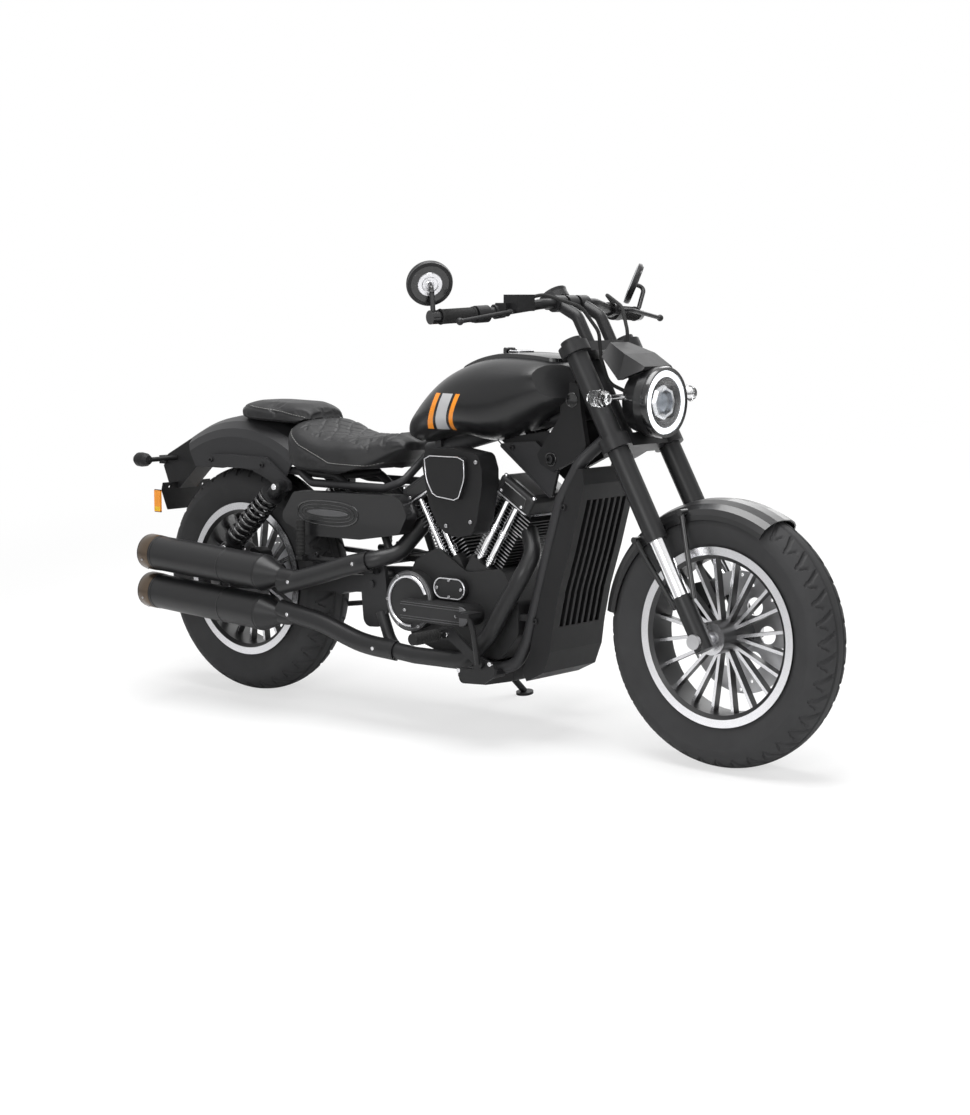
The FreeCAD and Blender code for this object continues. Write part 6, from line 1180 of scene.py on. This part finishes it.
@dataclass
class Panels:
    """Details of the side covers, neck covers, shroud, struts, tank and tail."""

    def side_covers(self) -> None:
        """A blank grooved oval plate and its rim on each side cover."""
        rims, plates = Shell(), Shell()
        for half, high, wire in ((112, 33, 2.6), (98, 23, 1.4), (86, 14, 1.2)):
            loop = [Vector((424 + half * math.copysign(abs(math.cos(turn)) ** 0.75, math.cos(turn)), -148.4,
                            546 + high * math.copysign(abs(math.sin(turn)) ** 0.8, math.sin(turn))))
                    for turn in [TAU * step / 72 for step in range(72)]]
            rims.tube(loop, wire, 8, closed=True)
        edge = [(424 + 76 * math.cos(turn), 546 + 9 * math.sin(turn)) for turn in
                [TAU * step / 48 for step in range(48)]]
        plates.prism(edge, -150.4, -147, 1.0)
        rims.paired()
        plates.paired()
        rims.piece("side_cover_grooves", GLOSS_PLASTIC, "chassis", "black_plastic")
        plates.piece("side_cover_plates", CAST_GREY, "chassis", "black_plastic")

    def bolts(self) -> None:
        """Bolts on the covers, struts, shroud, hangers and shocks."""
        dark, bright = Shell(), Shell()
        out = RIGHTWARD
        for x, y, z, size in ((1129, -70, 722, 11), (1201, -106, 609, 7), (1112, -106, 316, 7),
                              (-67, -116.3, 663, 7), (140, -116.3, 658, 7), (1000, -64, 745, 7),
                              (604, -137, 452, 8), (395, -160, 434, 7), (873, -78, 150, 6)):
            dark.bolt(Vector((x, y, z)), out, size)
        for x, y, z, size in ((226, -150, 605, 9), (22, -150, 420, 9), (694, -80, 500, 6),
                              (939, -200, 185, 6), (1042, -200, 212, 6), (896, -200, 272, 6)):
            bright.bolt(Vector((x, y, z)), out, size)
        for shell, finish, name in ((dark, STEEL_BLACK, "dark_bolts"), (bright, CHROME, "bright_bolts")):
            shell.paired()
            shell.piece(name, finish, "chassis", "steel")

    def slats(self) -> None:
        """Wavy upright slats in front of the radiator, and the fine fins of its core."""
        wave, core = Shell(), Shell()
        low, high = Vector((1118, 0, 300)), Vector((1206, 0, 622))
        ahead = Vector((high.z - low.z, 0, low.x - high.x)).normalized()
        for slot in range(7):
            y = -70 + 140 * slot / 6
            route = []
            for step in range(41):
                share = step / 40
                sway = 3.2 * math.sin(share * TAU * 5)
                route.append(low.lerp(high, share) + ahead * 30 + Vector((0, y + sway, 0)))
            wave.tube(route, 2.6, 8)
        for step in range(60):
            share = 0.03 + 0.94 * step / 59
            middle = low.lerp(high, share) + ahead * 13.6
            core.tube([middle + Vector((0, -84, 0)), middle + Vector((0, 84, 0))], 0.8, 6)
        wave.piece("radiator_slats", PLASTIC, "chassis", "black_plastic")
        core.piece("radiator_fins", CAST_GREY, "chassis", "radiator_core")

    def neck(self) -> None:
        """A round recess ring and a bright edge on each neck cover."""
        ring = Shell().hoop(Vector((1195, -70.5, 872)), Y_AXIS, 17, 2.2, 48)
        ring.lathe([(0, 0), (15, 0), (15.5, 1.2), (9, 2.4), (0, 2.6)], Vector((1195, -70, 872)),
                   RIGHTWARD, 40)
        ring.hoop(Vector((1129, -71, 722)), Y_AXIS, 16, 1.8, 48)
        edge = Shell().tube([Vector((x, -65, z)) for x, z in ((952, 762), (1030, 698), (1122, 626))], 1.6, 8)
        ring.paired()
        edge.paired()
        ring.piece("neck_cover_rings", GLOSS_PLASTIC, "chassis", "black_plastic")
        edge.piece("gusset_edges", FRAME_PAINT, "chassis", "frame_grey")
        inner = Shell().prism([(948, 764), (1108, 792), (1108, 648), (1030, 702)], -52, -48, 1.0)
        inner.paired()
        inner.piece("neck_inner_panels", PLASTIC, "chassis", "black_plastic")

    def tail(self) -> None:
        """Ribs on the tail lamp, the yellow foot of each reflector and the bars of its frame."""
        lamp = Shell()
        for step in range(7):
            y = -36 + 12 * step
            lamp.tube([Vector((-374.6, y - 4.5, 644)), Vector((-374.6, y + 4.5, 644))], 6.5, 12)
        lamp.piece("tail_lamp_cells", RED, "chassis", "red_lens")
        foot = Shell().prism([(-336, 497.5), (-312, 497.5), (-312, 512), (-336, 512)], -98.9, -92, 1.2)
        foot.paired()
        foot.piece("reflector_feet", YELLOW, "chassis", "amber_lens")
        frame = Shell()
        for z in (497, 559):
            frame.tube([Vector((-337, -95, z)), Vector((-311, -95, z))], 2.4, 8)
        frame.paired()
        frame.piece("reflector_frames", PLASTIC, "chassis", "black_plastic")

    def cap(self) -> None:
        """A knurled ring on the filler cap."""
        top = Vector((975, 0, 986.4))
        profile = [(31.5, -1), (31.5, 1.2), (28, 2.2), (24, 1.2), (24, -1)]
        ring = Shell().lathe(profile, top, Z_AXIS, 72, loop=True)
        for step in range(36):
            turn = TAU * step / 36
            ring.ball(top + Vector((math.cos(turn) * 29.5, math.sin(turn) * 29.5, 1.2)), 1.1, 8)
        ring.piece("filler_cap_ring", ALUMINIUM, "fuel_cap", "black_metal")

    def pegs(self) -> None:
        """Rubber ribs around the pegs."""
        for name, side in (("right", -1), ("left", 1)):
            ribs = Shell()
            for step in range(8):
                ribs.hoop(Vector((886, side * (232 + 10 * step), 272)), Y_AXIS, 14.6, 2.0, 24)
            ribs.piece(f"rider_peg_ribs_{name}", RUBBER, f"rider_peg_{name}", "rubber")
            ribs = Shell()
            for step in range(8):
                ribs.hoop(Vector((345, side * 172, 438 + 10 * step)), Z_AXIS, 11.6, 1.8, 24)
            ribs.piece(f"passenger_peg_ribs_{name}", RUBBER, f"passenger_peg_{name}", "rubber")

    def build(self) -> None:
        """Makes all the panels' details."""
        self.side_covers()
        self.bolts()
        self.slats()
        self.neck()
        self.tail()
        self.cap()
        self.pegs()


@dataclass
class Bars:
    """Mirror backs, rims and glasses, grip ribs and collars, and the gauge's bezel and glass."""

    end: tuple[float, float, float] = (1041.0, 396.0, 1077.0)
    inner: tuple[float, float, float] = (1070.0, 268.0, 1083.0)

    def grip(self, side: int) -> tuple[Vector, Vector]:
        """The grip run's inner and outer ends on one side."""
        return (Vector((self.inner[0], side * self.inner[1], self.inner[2])),
                Vector((self.end[0], side * self.end[1], self.end[2])))

    def mirrors(self) -> None:
        """The silver middle of each mirror's back and its glass."""
        turn, tilt = math.radians(38), math.radians(22)
        backs, rims, glass = Shell(), Shell(), Shell()
        for side in SIDES:
            inner, end = self.grip(side)
            root = end + (end - inner).normalized() * 10
            centre = root + Vector((-12, 0, 80))
            face = Vector((math.cos(turn) * math.cos(tilt), side * math.sin(turn) * math.cos(tilt),
                           -math.sin(tilt)))
            backs.lathe([(31, 6), (29, 9), (20, 9.4), (18, 8), (10, 8), (8, 9.6), (0, 10)], centre, face, 64)
            rims.lathe([(55.4, -7), (56.4, 0), (54, 7.4), (47, 8.6), (46, 7)], centre, face, 96, loop=True)
            glass.lathe([(0, -7.2), (50, -7.2), (49, -8.4), (0, -8.4)], centre, face, 64)
        backs.piece("mirror_backs", ALUMINIUM, "steering", "black_metal")
        rims.piece("mirror_rims", STEEL_BLACK, "steering", "black_metal")
        glass.piece("mirror_glasses", MIRROR, "steering", "chrome")

    def grips(self) -> None:
        """Ribs around both grips and a collar at each end."""
        ribs = Shell()
        for side in SIDES:
            inner, end = self.grip(side)
            axis = (end - inner).normalized()
            for step in range(22):
                ribs.hoop(inner.lerp(end, 0.24 + 0.62 * step / 21), axis, 17.0, 1.1, 28)
            for share, size in ((0.19, 19.0), (0.92, 18.6)):
                ribs.lathe([(17, -3), (size, -2.4), (size + 0.8, 0), (size, 2.4), (17, 3)],
                           inner.lerp(end, share), axis, 40, loop=True)
        ribs.piece("grip_ribs", RUBBER, "steering", "rubber")

    def gauge(self) -> None:
        """The gauge's glass and its bezel."""
        tilt = math.radians(35)
        up = Vector((-math.sin(tilt), 0, math.cos(tilt)))
        eye = Vector((1090, 0, 1111))
        Shell().lathe([(36.4, -4), (37.2, 2), (34, 4), (31, 2.6), (31, -1)], eye + up * 22, up, 72,
                      loop=True).piece("gauge_bezel", STEEL_BLACK, "steering", "black_metal")
        Shell().lathe([(0, 1.2), (31, 1.2), (31, 0.2), (0, 0.2)], eye + up * 22, up, 64).piece(
            "gauge_glass", GLOSS_PLASTIC, "steering", "trim_gloss")

    def build(self) -> None:
        """Makes the handlebar's details."""
        self.mirrors()
        self.grips()
        self.gauge()


def dress_frame(nodes: dict[str, bpy.types.Object]) -> None:
    """Gives every frame node its finish.

    Args:
        nodes: the frame's objects by name.
    """
    for name, node in nodes.items():
        finish = CAD_FINISHES.get(name, STEEL_BLACK)
        node.data.materials.clear()
        node.data.materials.append(finish.build())


def main() -> None:
    """Builds the dressed machine and its studio."""
    logging.basicConfig(level=logging.INFO, format="%(message)s")
    random.seed(7)
    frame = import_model()
    nodes = frame["nodes"]
    dress_frame(nodes)
    Seat("rider_seat", "rider_seat_leather", ((230.0, 770.0), (307.0, 718.0), (421.0, 676.0), (532.0, 671.0),
                                              (626.0, 697.0)), (46.0, 58.0), 290.0, 600.0, 112.0).build(nodes)
    Seat("pillion_seat", "pillion_seat_leather", ((66.0, 816.0), (194.0, 803.0), (270.0, 786.0))).build(nodes)
    for group in (Headlamp(), Bars(), Engine(), Exhaust(), Panels()):
        group.build()
    Tyre(Tread.FRONT, Vector((1613, 0, 320)), 320, 130, 46).build()
    Tyre(Tread.REAR, Vector((0, 0, 323)), 323, 150, 57).build()
    Studio().build()


if __name__ == "__main__":
    main()
